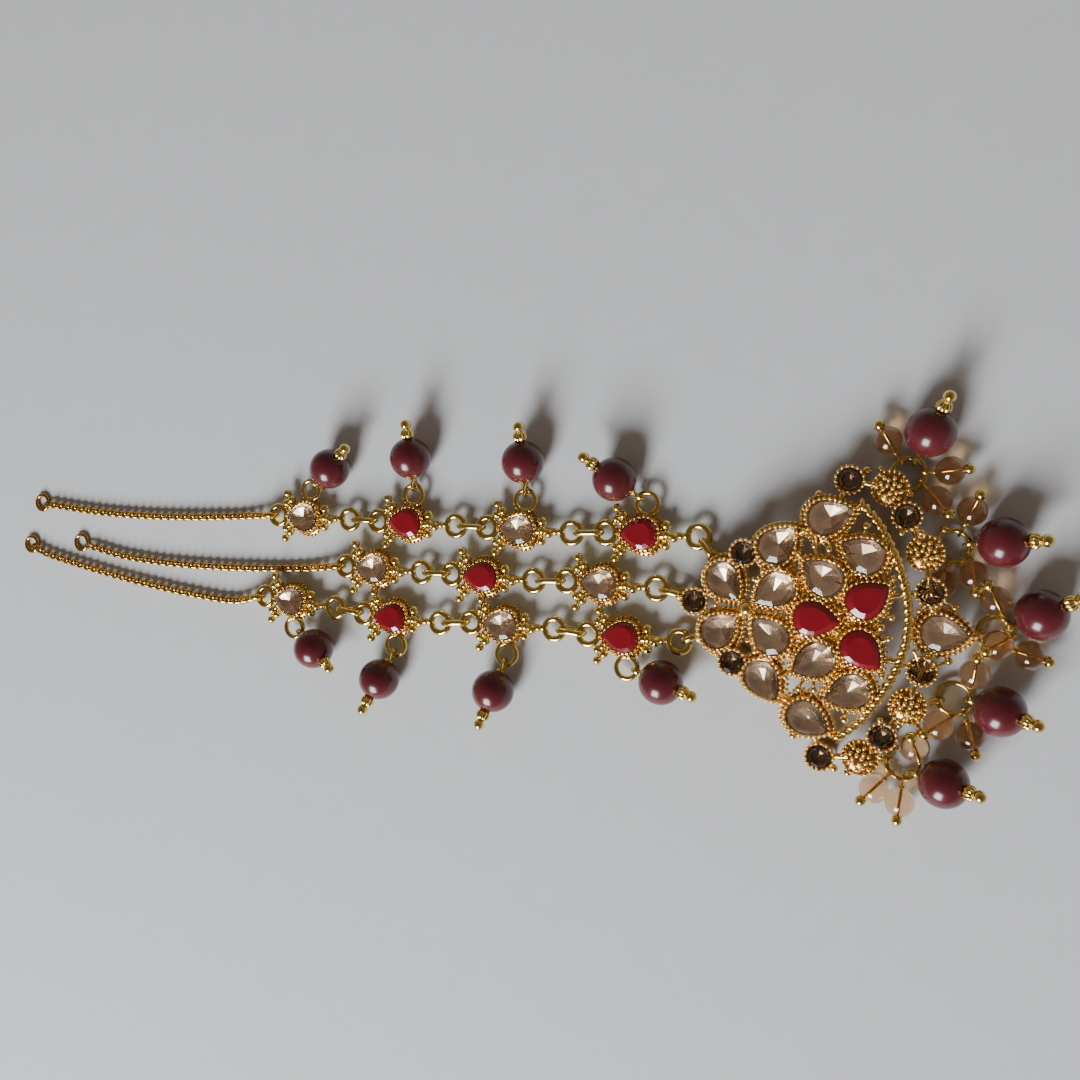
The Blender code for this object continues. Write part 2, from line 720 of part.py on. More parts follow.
def maroon_drop():
    """Eye, large bead, seed collar and ball end, hanging down from the eye's middle."""
    collar_top = -BEAD_REACH - BEAD_RADIUS * COLLAR_SEAT
    ball_centre = collar_top - COLLAR_LENGTH - BALL_RADIUS * BALL_SEAT
    profile = [(0.0, -EYE_RADIUS)] + bead_rows(-BEAD_REACH, BEAD_RADIUS, (30, 66, 102, 138))
    profile += [(COLLAR_RADIUS, collar_top), (BALL_RADIUS, ball_centre), (0.0, ball_centre - BALL_RADIUS)]
    eye = placed(small_eye(), Matrix.Rotation(math.pi / 2.0, 4, "X"))
    return fuse([turned(profile, ROUND_SIDES), eye])


def clear_drop():
    """Small bead with its wire wrapped round a fringe ring and a ball end."""
    ball_centre = -SMALL_BEAD_REACH - SMALL_BEAD_RADIUS - SMALL_BALL_RADIUS * SMALL_BALL_SEAT
    knob = FRINGE_WIRE * KNOB_SHARE
    profile = [(0.0, knob)]
    profile += bead_rows(-SMALL_BEAD_REACH, SMALL_BEAD_RADIUS, (40, 90, 140))
    profile += [(0.0, ball_centre - SMALL_BALL_RADIUS)]
    return turned(profile, ROUND_SIDES)


def hang(hook, heading, reach, height):
    """Matrix of a drop whose eye is at a hook and whose bead lies at a height."""
    rise = math.asin((height - hook.z) / reach)
    turn = Matrix.Rotation(heading, 4, "Z")
    return Matrix.Translation(hook) @ turn @ Matrix.Rotation(-math.pi / 2.0 - rise, 4, "Y")


def side_drops(strand):
    """Maroon drops on the side loops of a strand."""
    for index, degrees in enumerate(SIDE_DROPS.get(strand.name, [])):
        centre = plaque_place(strand, index) @ Vector((SIDE_LOOP_X, SIDE_LOOP_Y * strand.side, LOOP_HEIGHT))
        heading = math.radians(degrees)
        hook = centre + Vector((math.cos(heading), math.sin(heading), 0.0)) * SIDE_LOOP_RADIUS
        add(f"drop_{strand.name}_{index + 1}", maroon_drop(), "maroon_bead", ROOT,
            hang(hook, heading, BEAD_REACH, BEAD_RADIUS))


def fringe(bunch):
    """Ring with its clear drops in one piece, and its maroon drop."""
    centre = Vector((bunch.u * MM, bunch.v * MM, FRINGE_HEIGHT))
    solids = [placed(ring(FRINGE_RADIUS, FRINGE_WIRE), Matrix.Translation(centre))]
    for drop in bunch.drops:
        at = math.radians(drop.hook)
        hook = centre + Vector((math.cos(at), math.sin(at), 0.0)) * FRINGE_RADIUS
        heading = math.radians(drop.heading)
        if drop.bead == "clear":
            place = hang(hook, heading, SMALL_BEAD_REACH, SMALL_BEAD_RADIUS + drop.lift * MM)
            solids.append(placed(clear_drop(), place))
        else:
            place = hang(hook, heading, BEAD_REACH, BEAD_RADIUS + drop.lift * MM)
            add(bunch.name + "_maroon", maroon_drop(), "maroon_bead", PENDANT, place)
    add(bunch.name, fuse(solids), "clear_stone", PENDANT)


def settle(root):
    """Centre the whole jewel over the origin and rest it on the surface."""
    depsgraph = bpy.context.evaluated_depsgraph_get()
    depsgraph.update()
    corners = [piece.matrix_world @ vert.co for piece in PARTS.objects if piece.type == "MESH"
               for vert in piece.data.vertices]
    low = Vector([min(corner[axis] for corner in corners) for axis in range(3)])
    high = Vector([max(corner[axis] for corner in corners) for axis in range(3)])
    root.location = (-(low.x + high.x) / 2.0, -(low.y + high.y) / 2.0, -low.z)
    depsgraph.update()


clear_file()
PARTS = new_collection("matha_patti")
CUTTERS = new_collection("cutters")
ROOT = empty("jewel")
PENDANT = empty("pendant", ROOT, (APEX_X, APEX_Y, 0.0), PENDANT_TURN)
PENDANT.matrix_basis = Matrix.Translation((APEX_X, APEX_Y, 0.0)) @ Matrix.Rotation(PENDANT_TURN, 4, "Z")

pendant_frame()
pendant_stones()
for row in STRANDS:
    strand_plaques(row)
    strand_links(row)
    chain(row)
    side_drops(row)
for row in BUNCHES:
    fringe(row)
settle(ROOT)
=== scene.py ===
"""Looks of a matha patti: a domed openwork pendant hung on three strands of stone-set plaques.

The jewel lies on paper. X runs along the strands towards the pendant, Y across them, Z up.
Lengths are metres; tables are in millimetres and are multiplied by MM.
"""
import math
from collections import namedtuple

import bmesh
import bpy
from mathutils import Matrix, Vector


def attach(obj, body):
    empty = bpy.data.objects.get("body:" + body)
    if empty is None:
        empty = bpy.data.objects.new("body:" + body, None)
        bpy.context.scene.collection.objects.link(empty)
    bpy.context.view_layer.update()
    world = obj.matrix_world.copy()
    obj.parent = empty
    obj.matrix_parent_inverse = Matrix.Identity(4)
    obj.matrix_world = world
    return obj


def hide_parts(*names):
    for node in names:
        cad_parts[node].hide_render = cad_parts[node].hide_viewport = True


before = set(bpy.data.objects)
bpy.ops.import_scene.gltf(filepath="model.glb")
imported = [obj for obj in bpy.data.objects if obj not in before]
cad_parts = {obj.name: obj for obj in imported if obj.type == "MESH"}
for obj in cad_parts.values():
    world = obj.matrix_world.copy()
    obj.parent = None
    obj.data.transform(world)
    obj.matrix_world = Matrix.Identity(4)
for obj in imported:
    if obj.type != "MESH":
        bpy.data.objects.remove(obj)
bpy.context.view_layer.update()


# Paper under the jewel
# A sheet of pale grey drawing paper with a faint tooth. It is cut far larger than the picture
# and only carries the jewel.
MM = 0.001
PAPER_HALF = 900 * MM
PAPER_PARTS = 4
PAPER_PALE = (0.715, 0.74, 0.768)
PAPER_SHADE = (0.67, 0.695, 0.722)
PAPER_FLECK = 160.0
PAPER_DETAIL = 8.0
PAPER_ROUGHNESS = 0.85
# Shader socket that each output of a node group feeds
FEEDS = {"Color": "Base Color", "Roughness": "Roughness"}


def in_scene(name, data):
    """New object of this data, linked to the scene."""
    made = bpy.data.objects.new(name, data)
    bpy.context.scene.collection.objects.link(made)
    return made


def new_group(name, given, found):
    """Node group with named sockets of a kind going in and out, and its two end nodes."""
    group = bpy.data.node_groups.new(name, "ShaderNodeTree")
    for way, sockets in (("INPUT", given), ("OUTPUT", found)):
        for label, kind in sockets.items():
            group.interface.new_socket(label, in_out=way, socket_type="NodeSocket" + kind)
    return group, group.nodes.new("NodeGroupInput"), group.nodes.new("NodeGroupOutput")


def noise(group, scale=1.0, detail=2.0):
    """Noise node in the object's own space."""
    cloud = group.nodes.new("ShaderNodeTexNoise")
    cloud.inputs["Scale"].default_value = scale
    cloud.inputs["Detail"].default_value = detail
    where = group.nodes.new("ShaderNodeTexCoord")
    group.links.new(where.outputs["Object"], cloud.inputs["Vector"])
    return cloud


def blend(group, share, one, other):
    """Colour between two others, by a share; all are sockets."""
    mix = group.nodes.new("ShaderNodeMix")
    mix.data_type = "RGBA"
    for label, socket in (("Factor", share), ("A", one), ("B", other)):
        group.links.new(socket, mix.inputs[label])
    return mix.outputs["Result"]


def tint_group():
    """Node group: two colours clouded together."""
    group, given, out = new_group("clouded_tint", {
        "One": "Color", "Other": "Color", "Scale": "Float", "Detail": "Float", "Distortion": "Float",
    }, {"Color": "Color"})
    cloud = noise(group)
    for label in ("Scale", "Detail", "Distortion"):
        group.links.new(given.outputs[label], cloud.inputs[label])
    colour = blend(group, cloud.outputs["Fac"], given.outputs["One"], given.outputs["Other"])
    group.links.new(colour, out.inputs["Color"])
    return group


CLOUDED_TINT = tint_group()


def surface(name, group, values, constants):
    """Material with a node group, the group's values and constants on the shader."""
    material = bpy.data.materials.new(name)
    material.use_nodes = True
    nodes = material.node_tree.nodes
    effect = nodes.new("ShaderNodeGroup")
    effect.node_tree = group
    for node, settings in ((effect, values), (nodes["Principled BSDF"], constants)):
        for label, value in settings.items():
            node.inputs[label].default_value = value
    for socket in effect.outputs:
        if socket.name in FEEDS:
            material.node_tree.links.new(socket, nodes["Principled BSDF"].inputs[FEEDS[socket.name]])
    return material


def tinted(name, one, other, scale, constants, detail=2.0, distortion=0.0):
    """Material in two colours clouded together."""
    return surface(name, CLOUDED_TINT, {"One": (*one, 1.0), "Other": (*other, 1.0), "Scale": scale,
                                        "Detail": detail, "Distortion": distortion}, constants)


paper_sheet = bmesh.new()
bmesh.ops.create_grid(paper_sheet, x_segments=PAPER_PARTS, y_segments=PAPER_PARTS, size=PAPER_HALF)
paper_mesh = bpy.data.meshes.new("paper")
paper_sheet.to_mesh(paper_mesh)
paper_sheet.free()
paper_mesh.materials.append(tinted("drawing_paper", PAPER_SHADE, PAPER_PALE, PAPER_FLECK,
                                   {"Roughness": PAPER_ROUGHNESS}, PAPER_DETAIL))
paper = in_scene("paper", paper_mesh)


# Window, room and camera
# One large soft window low on the near left side lights the jewel. The room is bright near the
# horizon and dim overhead. The camera looks down from over the pendant's far end.
WINDOW_WAY = Vector((-0.25, -0.78, 0.56))
WINDOW_WIDTH = 0.42
WINDOW_HEIGHT = WINDOW_WIDTH * 1.3
WINDOW_POWER = 17.0
WINDOW_COLOUR = (0.965, 0.985, 1.0)
# Height in the room, and its light there
ROOM_SHADES = [(0.15, (0.30, 0.24, 0.205, 1.0)), (0.85, (0.105, 0.085, 0.07, 1.0))]
CAMERA_PLACE = Vector((89.66 * MM, 15.63 * MM, 178.0 * MM))
CAMERA_RIGHT = Vector((0.93052, 0.0, -0.36624))
CAMERA_UP = Vector((-0.009, 0.9997, -0.02286))
CAMERA_LENS = 33.75
CAMERA_SENSOR = 36.0
CAMERA_NEAR = 0.005
CAMERA_FAR = 20.0

window_data = bpy.data.lights.new("window", "AREA")
window_data.shape = "RECTANGLE"
window_data.size = WINDOW_WIDTH
window_data.size_y = WINDOW_HEIGHT
window_data.energy = WINDOW_POWER
window_data.color = WINDOW_COLOUR
window = in_scene("window", window_data)
window.matrix_world = Matrix.Translation(WINDOW_WAY) @ WINDOW_WAY.to_track_quat("Z", "Y").to_matrix().to_4x4()

room = bpy.data.worlds.new("room")
bpy.context.scene.world = room
room.use_nodes = True
nodes, links = room.node_tree.nodes, room.node_tree.links
sky_way = nodes.new("ShaderNodeTexCoord")
split = nodes.new("ShaderNodeSeparateXYZ")
height_ramp = nodes.new("ShaderNodeValToRGB")
for stop, (height, shade) in zip(height_ramp.color_ramp.elements, ROOM_SHADES):
    stop.position = height
    stop.color = shade
links.new(sky_way.outputs["Generated"], split.inputs["Vector"])
links.new(split.outputs["Z"], height_ramp.inputs["Fac"])
links.new(height_ramp.outputs["Color"], nodes["Background"].inputs["Color"])

camera_data = bpy.data.cameras.new("camera")
camera_data.lens = CAMERA_LENS
camera_data.sensor_width = CAMERA_SENSOR
camera_data.clip_start = CAMERA_NEAR
camera_data.clip_end = CAMERA_FAR
camera = in_scene("camera", camera_data)
right = CAMERA_RIGHT.normalized()
back = right.cross(CAMERA_UP).normalized()
up = back.cross(right)
camera.matrix_world = Matrix.Translation(CAMERA_PLACE) @ Matrix((right, up, back)).transposed().to_4x4()
bpy.context.scene.camera = camera


# Pear bezels of the pendant
# Each is a cup of thin brass sheet, gold plated, with its rim rubbed over the stone's girdle.
# The cups stand side by side on a low dome and are soldered where they touch.
JEWEL = Matrix.Translation((21.209 * MM, 11.033 * MM, 0.082 * MM))
PENDANT_TURN = Matrix.Rotation(math.radians(-5.7), 4, "Z")
PENDANT = JEWEL @ Matrix.Translation((29.2 * MM, -10.2 * MM, 0.0)) @ PENDANT_TURN
PEAR_LENGTH = 7.4 * MM
PEAR_WIDTH = 5.9 * MM
PEAR_POINT = 0.7
CUP_DEPTH = 2.3 * MM
CUP_SIDES = 44
DOME_RIM = 5.7 * MM
DOME_RISE = 3.7 * MM
DOME_CENTRE = 20.5 * MM
DOME_HALF_LENGTH = 20.5 * MM
DOME_HALF_WIDTH = 24.0 * MM
TILT_SHARE = 0.6
CLOUD_SCALE = 420.0
CLOUD_DETAIL = 4.0
CLOUD_SHARE = 0.9
SCRATCH_SCALE = 3200.0
SCRATCH_DETAIL = 3.0
SCRATCH_ROUGHNESS = 0.16
BUMP_STRENGTH = 0.12
BUMP_DEPTH = 0.05 * MM
# Degrees past which an edge is sharp: on cups and balls, on twisted wire and on tiny beads
CREASE, WIRE_CREASE, GRAIN_CREASE = 40, 60, 80

# Settings on one side of the pendant's axis, u along it and v across, mirrored unless v is 0.
# tip is the way that a pear points, in degrees from +u.
Setting = namedtuple("Setting", "name kind u v tip")
SETTINGS = [
    Setting("apex", "foot", 0.0, 0.0, 0),
    Setting("wing", "clear", 5.3, 4.05, -45),
    Setting("petal", "clear", 13.7, 3.65, 220),
    Setting("shoulder", "foot", 7.9, 9.3, 0),
    Setting("flank", "clear", 13.55, 11.5, 50),
    Setting("heart", "red", 21.0, 0.0, 0),
    Setting("side", "clear", 21.15, 7.0, 144),
    Setting("corner", "clear", 21.3, 16.8, 24),
    Setting("cheek", "clear", 27.0, 11.25, 155),
    Setting("fan", "red", 28.65, 4.3, 42),
    Setting("edge", "foot", 23.55, 23.0, 0),
    Setting("rim", "foot", 32.95, 18.0, 0),
    Setting("brow", "chaton", 37.8, 6.35, 0),
    Setting("outer", "cluster", 29.9, 22.2, 0),
    Setting("inner", "cluster", 36.3, 12.4, 0),
    Setting("tail", "clear", 40.5, 0.0, 0),
]
# Wall of a pear cup, from the foot over the rim to the floor: out from the stone's edge, height
CUP_WALL = [(0.30, -2.30), (0.45, -1.60), (0.92, -1.48), (0.96, -1.30), (0.52, -1.05), (0.42, -0.45),
            (0.28, -0.15), (0.10, 0.00), (0.00, 0.04), (-0.10, 0.00), (-0.09, -0.05), (0.04, -0.14),
            (0.02, -1.90)]


def dome(u, v):
    """Height of the dome and its lean along and across the axis."""
    along = (u - DOME_CENTRE) / DOME_HALF_LENGTH
    across = v / DOME_HALF_WIDTH
    height = DOME_RIM + DOME_RISE * (1.0 - along ** 2 - across ** 2)
    return height, -2.0 * DOME_RISE * along / DOME_HALF_LENGTH, -2.0 * DOME_RISE * across / DOME_HALF_WIDTH


def setting_place(setting, side):
    """Matrix of a setting: its rim's middle, leaning with the dome where it is a pear."""
    u, v = setting.u * MM, setting.v * side * MM
    height, slope_u, slope_v = dome(u, v)
    lean = TILT_SHARE if setting.kind in ("clear", "red") and setting.name != "tail" else 0.0
    normal = Vector((-slope_u * lean, -slope_v * lean, 1.0)).normalized()
    tilt = Vector((0.0, 0.0, 1.0)).rotation_difference(normal).to_matrix().to_4x4()
    spin = Matrix.Rotation(math.radians(setting.tip) * side, 4, "Z")
    return Matrix.Translation((u, v, height)) @ tilt @ spin


def sided_settings(*kinds):
    """Every setting of these kinds with its side and full name."""
    for setting in SETTINGS:
        if setting.kind not in kinds:
            continue
        if setting.v == 0.0:
            yield setting, 1, setting.name
        else:
            yield setting, 1, setting.name + "_left"
            yield setting, -1, setting.name + "_right"


def seats(*kinds):
    """Places in the scene of the settings of these kinds."""
    return [PENDANT @ setting_place(setting, side) for setting, side, name in sided_settings(*kinds)]


def pear(turn):
    """Point of a pear outline that fills -1 to 1, tip at +X."""
    widest = math.sqrt((1.0 + PEAR_POINT) / (2.0 + PEAR_POINT))
    reach = 2.0 * widest ** (1.0 + PEAR_POINT) * math.sqrt(1.0 - widest ** 2)
    return math.cos(turn), math.sin(turn) * abs(math.sin(turn / 2.0)) ** PEAR_POINT / reach


def raised(shape, top, first):
    """Extrude a cap and give the new one; the old one stays only where it is the first."""
    made = bmesh.ops.extrude_face_region(shape, geom=[top])
    if not first:
        bmesh.ops.delete(shape, geom=[top], context="FACES_ONLY")
    return next(item for item in made["geom"] if isinstance(item, bmesh.types.BMFace))


def stack(place, outline, sides, levels):
    """Shell through flat outlines: half length, half width and height of each."""
    shape = bmesh.new()
    turns = shape.verts.layers.float.new("turn")
    bmesh.ops.create_circle(shape, cap_ends=True, radius=1.0, segments=sides)
    for vert in shape.verts:
        vert[turns] = math.atan2(vert.co.y, vert.co.x) - math.pi / 2.0
    shape.faces.ensure_lookup_table()
    top = shape.faces[0]
    for step, (half_length, half_width, height) in enumerate(levels):
        if step:
            top = raised(shape, top, step == 1)
        for vert in top.verts:
            x, y = outline(vert[turns])
            vert.co = (x * half_length, y * half_width, height)
    shape.verts.layers.float.remove(turns)
    bmesh.ops.recalc_face_normals(shape, faces=shape.faces)
    bmesh.ops.transform(shape, matrix=place, verts=shape.verts)
    return shape


def bezel_cup(place, outline, length, width, wall):
    """Cup with a lip round a stone of a length and width."""
    return stack(place, outline, CUP_SIDES, [
        (length / 2.0 + out * MM, width / 2.0 + out * MM, height * MM) for out, height in wall])


def piece(name, shapes, finishes, crease=CREASE):
    """Object from shapes joined in one mesh, its edges sharp past an angle."""
    mesh = bpy.data.meshes.new(name)
    whole = bmesh.new()
    for shape in shapes:
        shape.to_mesh(mesh)
        shape.free()
        whole.from_mesh(mesh)
    whole.to_mesh(mesh)
    whole.free()
    for finish in finishes:
        mesh.materials.append(finish)
    mesh.shade_smooth()
    mesh.set_sharp_from_angle(angle=math.radians(crease))
    return in_scene(name, mesh)


def maths(group, kind, *values):
    """Result of a math node; each value is a socket or a number."""
    node = group.nodes.new("ShaderNodeMath")
    node.operation = kind
    for socket, value in zip(node.inputs, values):
        if isinstance(value, float):
            socket.default_value = value
        else:
            group.links.new(value, socket)
    return node.outputs[0]


def plating_and_painted_shade_group():
    """Node group: cloudy gold plate with painted shade low down; its colour, roughness and fine surface
    height.
    """
    group, given, out = new_group("cloudy_plate_and_painted_shade", {
        "Bright": "Color", "Deep_and_painted_shade": "Color", "Low": "Float", "High": "Float", "Gloss": "Float",
    }, {"Color": "Color", "Roughness": "Float", "Height": "Float"})
    join = group.links.new
    cloud = noise(group, CLOUD_SCALE, CLOUD_DETAIL).outputs["Fac"]
    scratches = noise(group, SCRATCH_SCALE, SCRATCH_DETAIL).outputs["Fac"]
    where = group.nodes.new("ShaderNodeTexCoord")
    heights = group.nodes.new("ShaderNodeSeparateXYZ")
    rise = group.nodes.new("ShaderNodeMapRange")
    join(where.outputs["Object"], heights.inputs["Vector"])
    join(heights.outputs["Z"], rise.inputs["Value"])
    join(given.outputs["Low"], rise.inputs["From Min"])
    join(given.outputs["High"], rise.inputs["From Max"])
    # Painted shade: the colour goes deep below the low height and bright above the high one, clouded a little
    cloud_and_painted_shade = maths(group, "MULTIPLY_ADD", cloud, CLOUD_SHARE, rise.outputs["Result"])
    share = maths(group, "ADD", cloud_and_painted_shade, -CLOUD_SHARE / 2.0)
    share.node.use_clamp = True
    join(blend(group, share, given.outputs["Deep_and_painted_shade"], given.outputs["Bright"]), out.inputs["Color"])
    join(maths(group, "MULTIPLY_ADD", scratches, SCRATCH_ROUGHNESS, given.outputs["Gloss"]),
         out.inputs["Roughness"])
    join(scratches, out.inputs["Height"])
    return group


CLOUDY_PLATE_AND_PAINTED_SHADE = plating_and_painted_shade_group()


def gold_plate(name, bright, deep_and_painted_shade, low, high, gloss):
    """Gold plate with painted shade: deeper in colour low down, between two heights in millimetres."""
    material = surface(name, CLOUDY_PLATE_AND_PAINTED_SHADE, {
        "Bright": (*bright, 1.0), "Deep_and_painted_shade": (*deep_and_painted_shade, 1.0), "Low": low * MM, "High": high * MM, "Gloss": gloss,
    }, {"Metallic": 1.0})
    nodes, links = material.node_tree.nodes, material.node_tree.links
    bump = nodes.new("ShaderNodeBump")
    bump.inputs["Strength"].default_value = BUMP_STRENGTH
    bump.inputs["Distance"].default_value = BUMP_DEPTH
    links.new(nodes["Group"].outputs["Height"], bump.inputs["Height"])
    links.new(bump.outputs["Normal"], nodes["Principled BSDF"].inputs["Normal"])
    return material


# The pendant's gold, darker than the beaded wire as painted shade on the cup walls under the beads; also
# deeper low down, from 2 mm to 10 mm
pendant_gold_and_painted_shade = gold_plate("pendant_gold_and_painted_shade", (0.80, 0.46, 0.15), (0.42, 0.185, 0.055), 2.0, 10.0, 0.12)
cups = [bezel_cup(seat, pear, PEAR_LENGTH, PEAR_WIDTH, CUP_WALL) for seat in seats("clear", "red")]
pendant_cups = piece("pendant_bezels", cups, [pendant_gold_and_painted_shade])
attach(pendant_cups, "root")
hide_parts("pendant_frame")


# Beaded wire round the pear bezels
# A drawn wire rolled into a string of tiny beads and bent to each cup's outline. One row lies
# against the rubbed lip, one on the edge of the cup's skirt and one under it.
GRAIN_RADIUS = 0.31 * MM
GRAIN_PITCH = 0.86 * MM
GRAIN_SIDES = 8
GRAIN_BANDS = 5
OUTLINE_STEPS = 360
# Rows: out from the stone's edge, height
RIM_ROW = (0.28 * MM, 0.02 * MM)
SKIRT_ROW = (1.0 * MM, -1.15 * MM)
FOOT_ROW = (1.2 * MM, -1.9 * MM)


def even_round(outline, length, width, pitch):
    """Evenly spaced points round an outline, about a pitch apart."""
    samples = [outline(math.tau * step / OUTLINE_STEPS) for step in range(OUTLINE_STEPS + 1)]
    samples = [Vector((x * length, y * width, 0.0)) for x, y in samples]
    runs = [0.0]
    for one, other in zip(samples, samples[1:]):
        runs.append(runs[-1] + (other - one).length)
    count = round(runs[-1] / pitch)
    points = []
    at = 0
    for step in range(count):
        aim = runs[-1] * step / count
        while runs[at + 1] < aim:
            at += 1
        share = (aim - runs[at]) / (runs[at + 1] - runs[at])
        points.append(samples[at].lerp(samples[at + 1], share))
    return points


def bead_string(place, points, radius):
    """Small round beads at points."""
    shape = bmesh.new()
    for point in points:
        bmesh.ops.create_uvsphere(shape, u_segments=GRAIN_SIDES, v_segments=GRAIN_BANDS, radius=radius,
                                  matrix=Matrix.Translation(point))
    bmesh.ops.transform(shape, matrix=place, verts=shape.verts)
    return shape


def beaded_wire(place, outline, length, width, row):
    """Beaded wire round a stone of a length and width, a row out from its edge and at a height."""
    out, height = row
    points = even_round(outline, length / 2.0 + out, width / 2.0 + out, GRAIN_PITCH)
    return bead_string(place @ Matrix.Translation((0.0, 0.0, height)), points, GRAIN_RADIUS)


# Painted shade: deeper in colour low down, from 2 mm to 7 mm above the paper
wire_plate = gold_plate("beaded_wire_plate", (1.0, 0.76, 0.29), (0.66, 0.41, 0.11), 2.0, 7.0, 0.03)
for label, row in (("rim", RIM_ROW), ("skirt", SKIRT_ROW), ("foot", FOOT_ROW)):
    rows = [beaded_wire(seat, pear, PEAR_LENGTH, PEAR_WIDTH, row) for seat in seats("clear", "red")]
    pendant_wires = piece(f"pendant_{label}_wires", rows, [wire_plate], GRAIN_CREASE)
    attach(pendant_wires, "root")
    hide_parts("pendant_frame")


# Clear pear stones of the pendant
# Moulded and faceted glass the colour of champagne, silvered behind so that each back facet
# flashes or goes dark by itself. The rubbed lip holds the girdle.
STONE_SIDES = 11
GIRDLE_DROP = 0.2 * MM
PEAR_CROWN = 1.0 * MM
PEAR_BACK = 0.90 * MM
TABLE_SHARE = 0.66
CROWN_SHARE = 0.93
CROWN_STEP = 0.55
POINT_SHARE = 0.03
SEAT_LEAN = math.radians(2.6)
# Change of the lean from stone to stone, about X and about Y
SEAT_STEPS = (2.4, 1.7)
FOIL_SCALE = 500.0
FOIL_DETAIL = 3.0
FOIL_ROUGHNESS = (0.10, 0.30)
STREAK_SCALE = 260.0
STREAK_SHARE = 0.94
GLASS_ROUGHNESS = 0.02


def cut_stone(place, outline, sides, length, width, crown, back, table=TABLE_SHARE):
    """Faceted stone: pointed back, girdle and a stepped crown with a table; the back is slot 1."""
    half_length, half_width = length / 2.0, width / 2.0
    shape = stack(Matrix.Identity(4), outline, sides, [
        (half_length * POINT_SHARE, half_width * POINT_SHARE, -GIRDLE_DROP - back),
        (half_length, half_width, -GIRDLE_DROP),
        (half_length * CROWN_SHARE, half_width * CROWN_SHARE, crown * CROWN_STEP - GIRDLE_DROP),
        (half_length * table, half_width * table, crown - GIRDLE_DROP)])
    bmesh.ops.triangulate(shape, faces=[face for face in shape.faces if len(face.verts) == 4])
    for face in shape.faces:
        face.material_index = 1 if face.calc_center_median().z < -GIRDLE_DROP else 0
    bmesh.ops.transform(shape, matrix=place, verts=shape.verts)
    return shape


def flat_facets(item):
    """Keep every facet of a cut stone flat."""
    item.data.shade_flat()
    return item


def foil_group():
    """Node group: silvering behind glass, its colour and roughness clouded a little."""
    group, given, out = new_group("silvered_back", {"Light": "Color", "Dark": "Color"},
                                  {"Color": "Color", "Roughness": "Float"})
    cloud = noise(group, FOIL_SCALE, FOIL_DETAIL).outputs["Fac"]
    rough = group.nodes.new("ShaderNodeMapRange")
    rough.inputs["To Min"].default_value, rough.inputs["To Max"].default_value = FOIL_ROUGHNESS
    group.links.new(cloud, rough.inputs["Value"])
    group.links.new(rough.outputs["Result"], out.inputs["Roughness"])
    colour = blend(group, cloud, given.outputs["Dark"], given.outputs["Light"])
    group.links.new(colour, out.inputs["Color"])
    return group


SILVERED_BACK = foil_group()


def silvering(name, light, dark):
    """Metal film on the back facets of a stone."""
    return surface(name, SILVERED_BACK, {"Light": (*light, 1.0), "Dark": (*dark, 1.0)}, {"Metallic": 1.0})


def cut_glass(name, colour, index, coat=0.0):
    """Polished glass with faint streaks in its colour."""
    streak = [share * STREAK_SHARE for share in colour]
    return tinted(name, colour, streak, STREAK_SCALE, {
        "Roughness": GLASS_ROUGHNESS, "Transmission Weight": 1.0, "IOR": index, "Coat Weight": coat})


def seated(place, order):
    """A stone's place leant a little, each by its order, as a setter leaves them."""
    lean = Matrix.Rotation(SEAT_LEAN * math.sin(SEAT_STEPS[0] * order), 4, "X")
    return place @ lean @ Matrix.Rotation(SEAT_LEAN * math.cos(SEAT_STEPS[1] * order), 4, "Y")


champagne_glass = cut_glass("champagne_glass", (0.99, 0.93, 0.85), 1.5)
champagne_film = silvering("champagne_film", (1.0, 0.86, 0.70), (0.98, 0.72, 0.52))
cut = [cut_stone(seated(seat, order), pear, STONE_SIDES, PEAR_LENGTH, PEAR_WIDTH, PEAR_CROWN, PEAR_BACK)
       for order, seat in enumerate(seats("clear"))]
clear_pears = flat_facets(piece("pendant_clear_stones", cut, [champagne_glass, champagne_film]))
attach(clear_pears, "root")
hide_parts(*["stone_" + name for setting, side, name in sided_settings("clear")])


# Red pear stones of the pendant
# Three opaque ruby-red glass pears, one in the heart and two in the fan, with a wide flat
# table and a polished bevel round it.
RED_TABLE = 0.68
RED_SIDES = 16
RED_CROWN = 0.90 * MM
RED_CLOUDS = 300.0

ruby_glass = tinted("ruby_glass", (0.17, 0.004, 0.011), (0.30, 0.008, 0.020), RED_CLOUDS,
                    {"Roughness": 0.16, "Coat Weight": 0.8, "Coat Roughness": 0.03})
cut = [cut_stone(seat, pear, RED_SIDES, PEAR_LENGTH, PEAR_WIDTH, RED_CROWN, PEAR_BACK, RED_TABLE)
       for seat in seats("red")]
red_pears = flat_facets(piece("pendant_red_stones", cut, [ruby_glass, ruby_glass]))
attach(red_pears, "root")
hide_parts(*["stone_" + name for setting, side, name in sided_settings("red")])


# Round chatons of the pendant
# Small round smoky stones in plain cups with a bright rubbed rim and a beaded wire. The seven
# on the edge stand on long tube cups that carry the dome.
CHATON_WIDTH = 4.0 * MM
CHATON_CROWN = 0.9 * MM
CHATON_BACK = 1.0 * MM
CHATON_DEPTH = 1.3 * MM
CHATON_WALL = [(0.40, -0.62), (0.26, -0.20), (0.12, 0.02), (0.02, 0.06), (-0.10, 0.02),
               (-0.08, -0.04), (0.03, -0.12), (0.02, -1.10)]
CHATON_FOOT = [(0.32, -1.20)]
CHATON_TAPER = 0.30
CHATON_SIDES = 8


def round_outline(turn):
    """Point of the unit circle."""
    return math.cos(turn), math.sin(turn)


def chaton_cup(place, depth):
    """Round cup with a lip, its foot at a depth under the rim."""
    wall = [(CHATON_TAPER, -depth / MM)] + CHATON_FOOT + CHATON_WALL
    return bezel_cup(place, round_outline, CHATON_WIDTH, CHATON_WIDTH, wall)


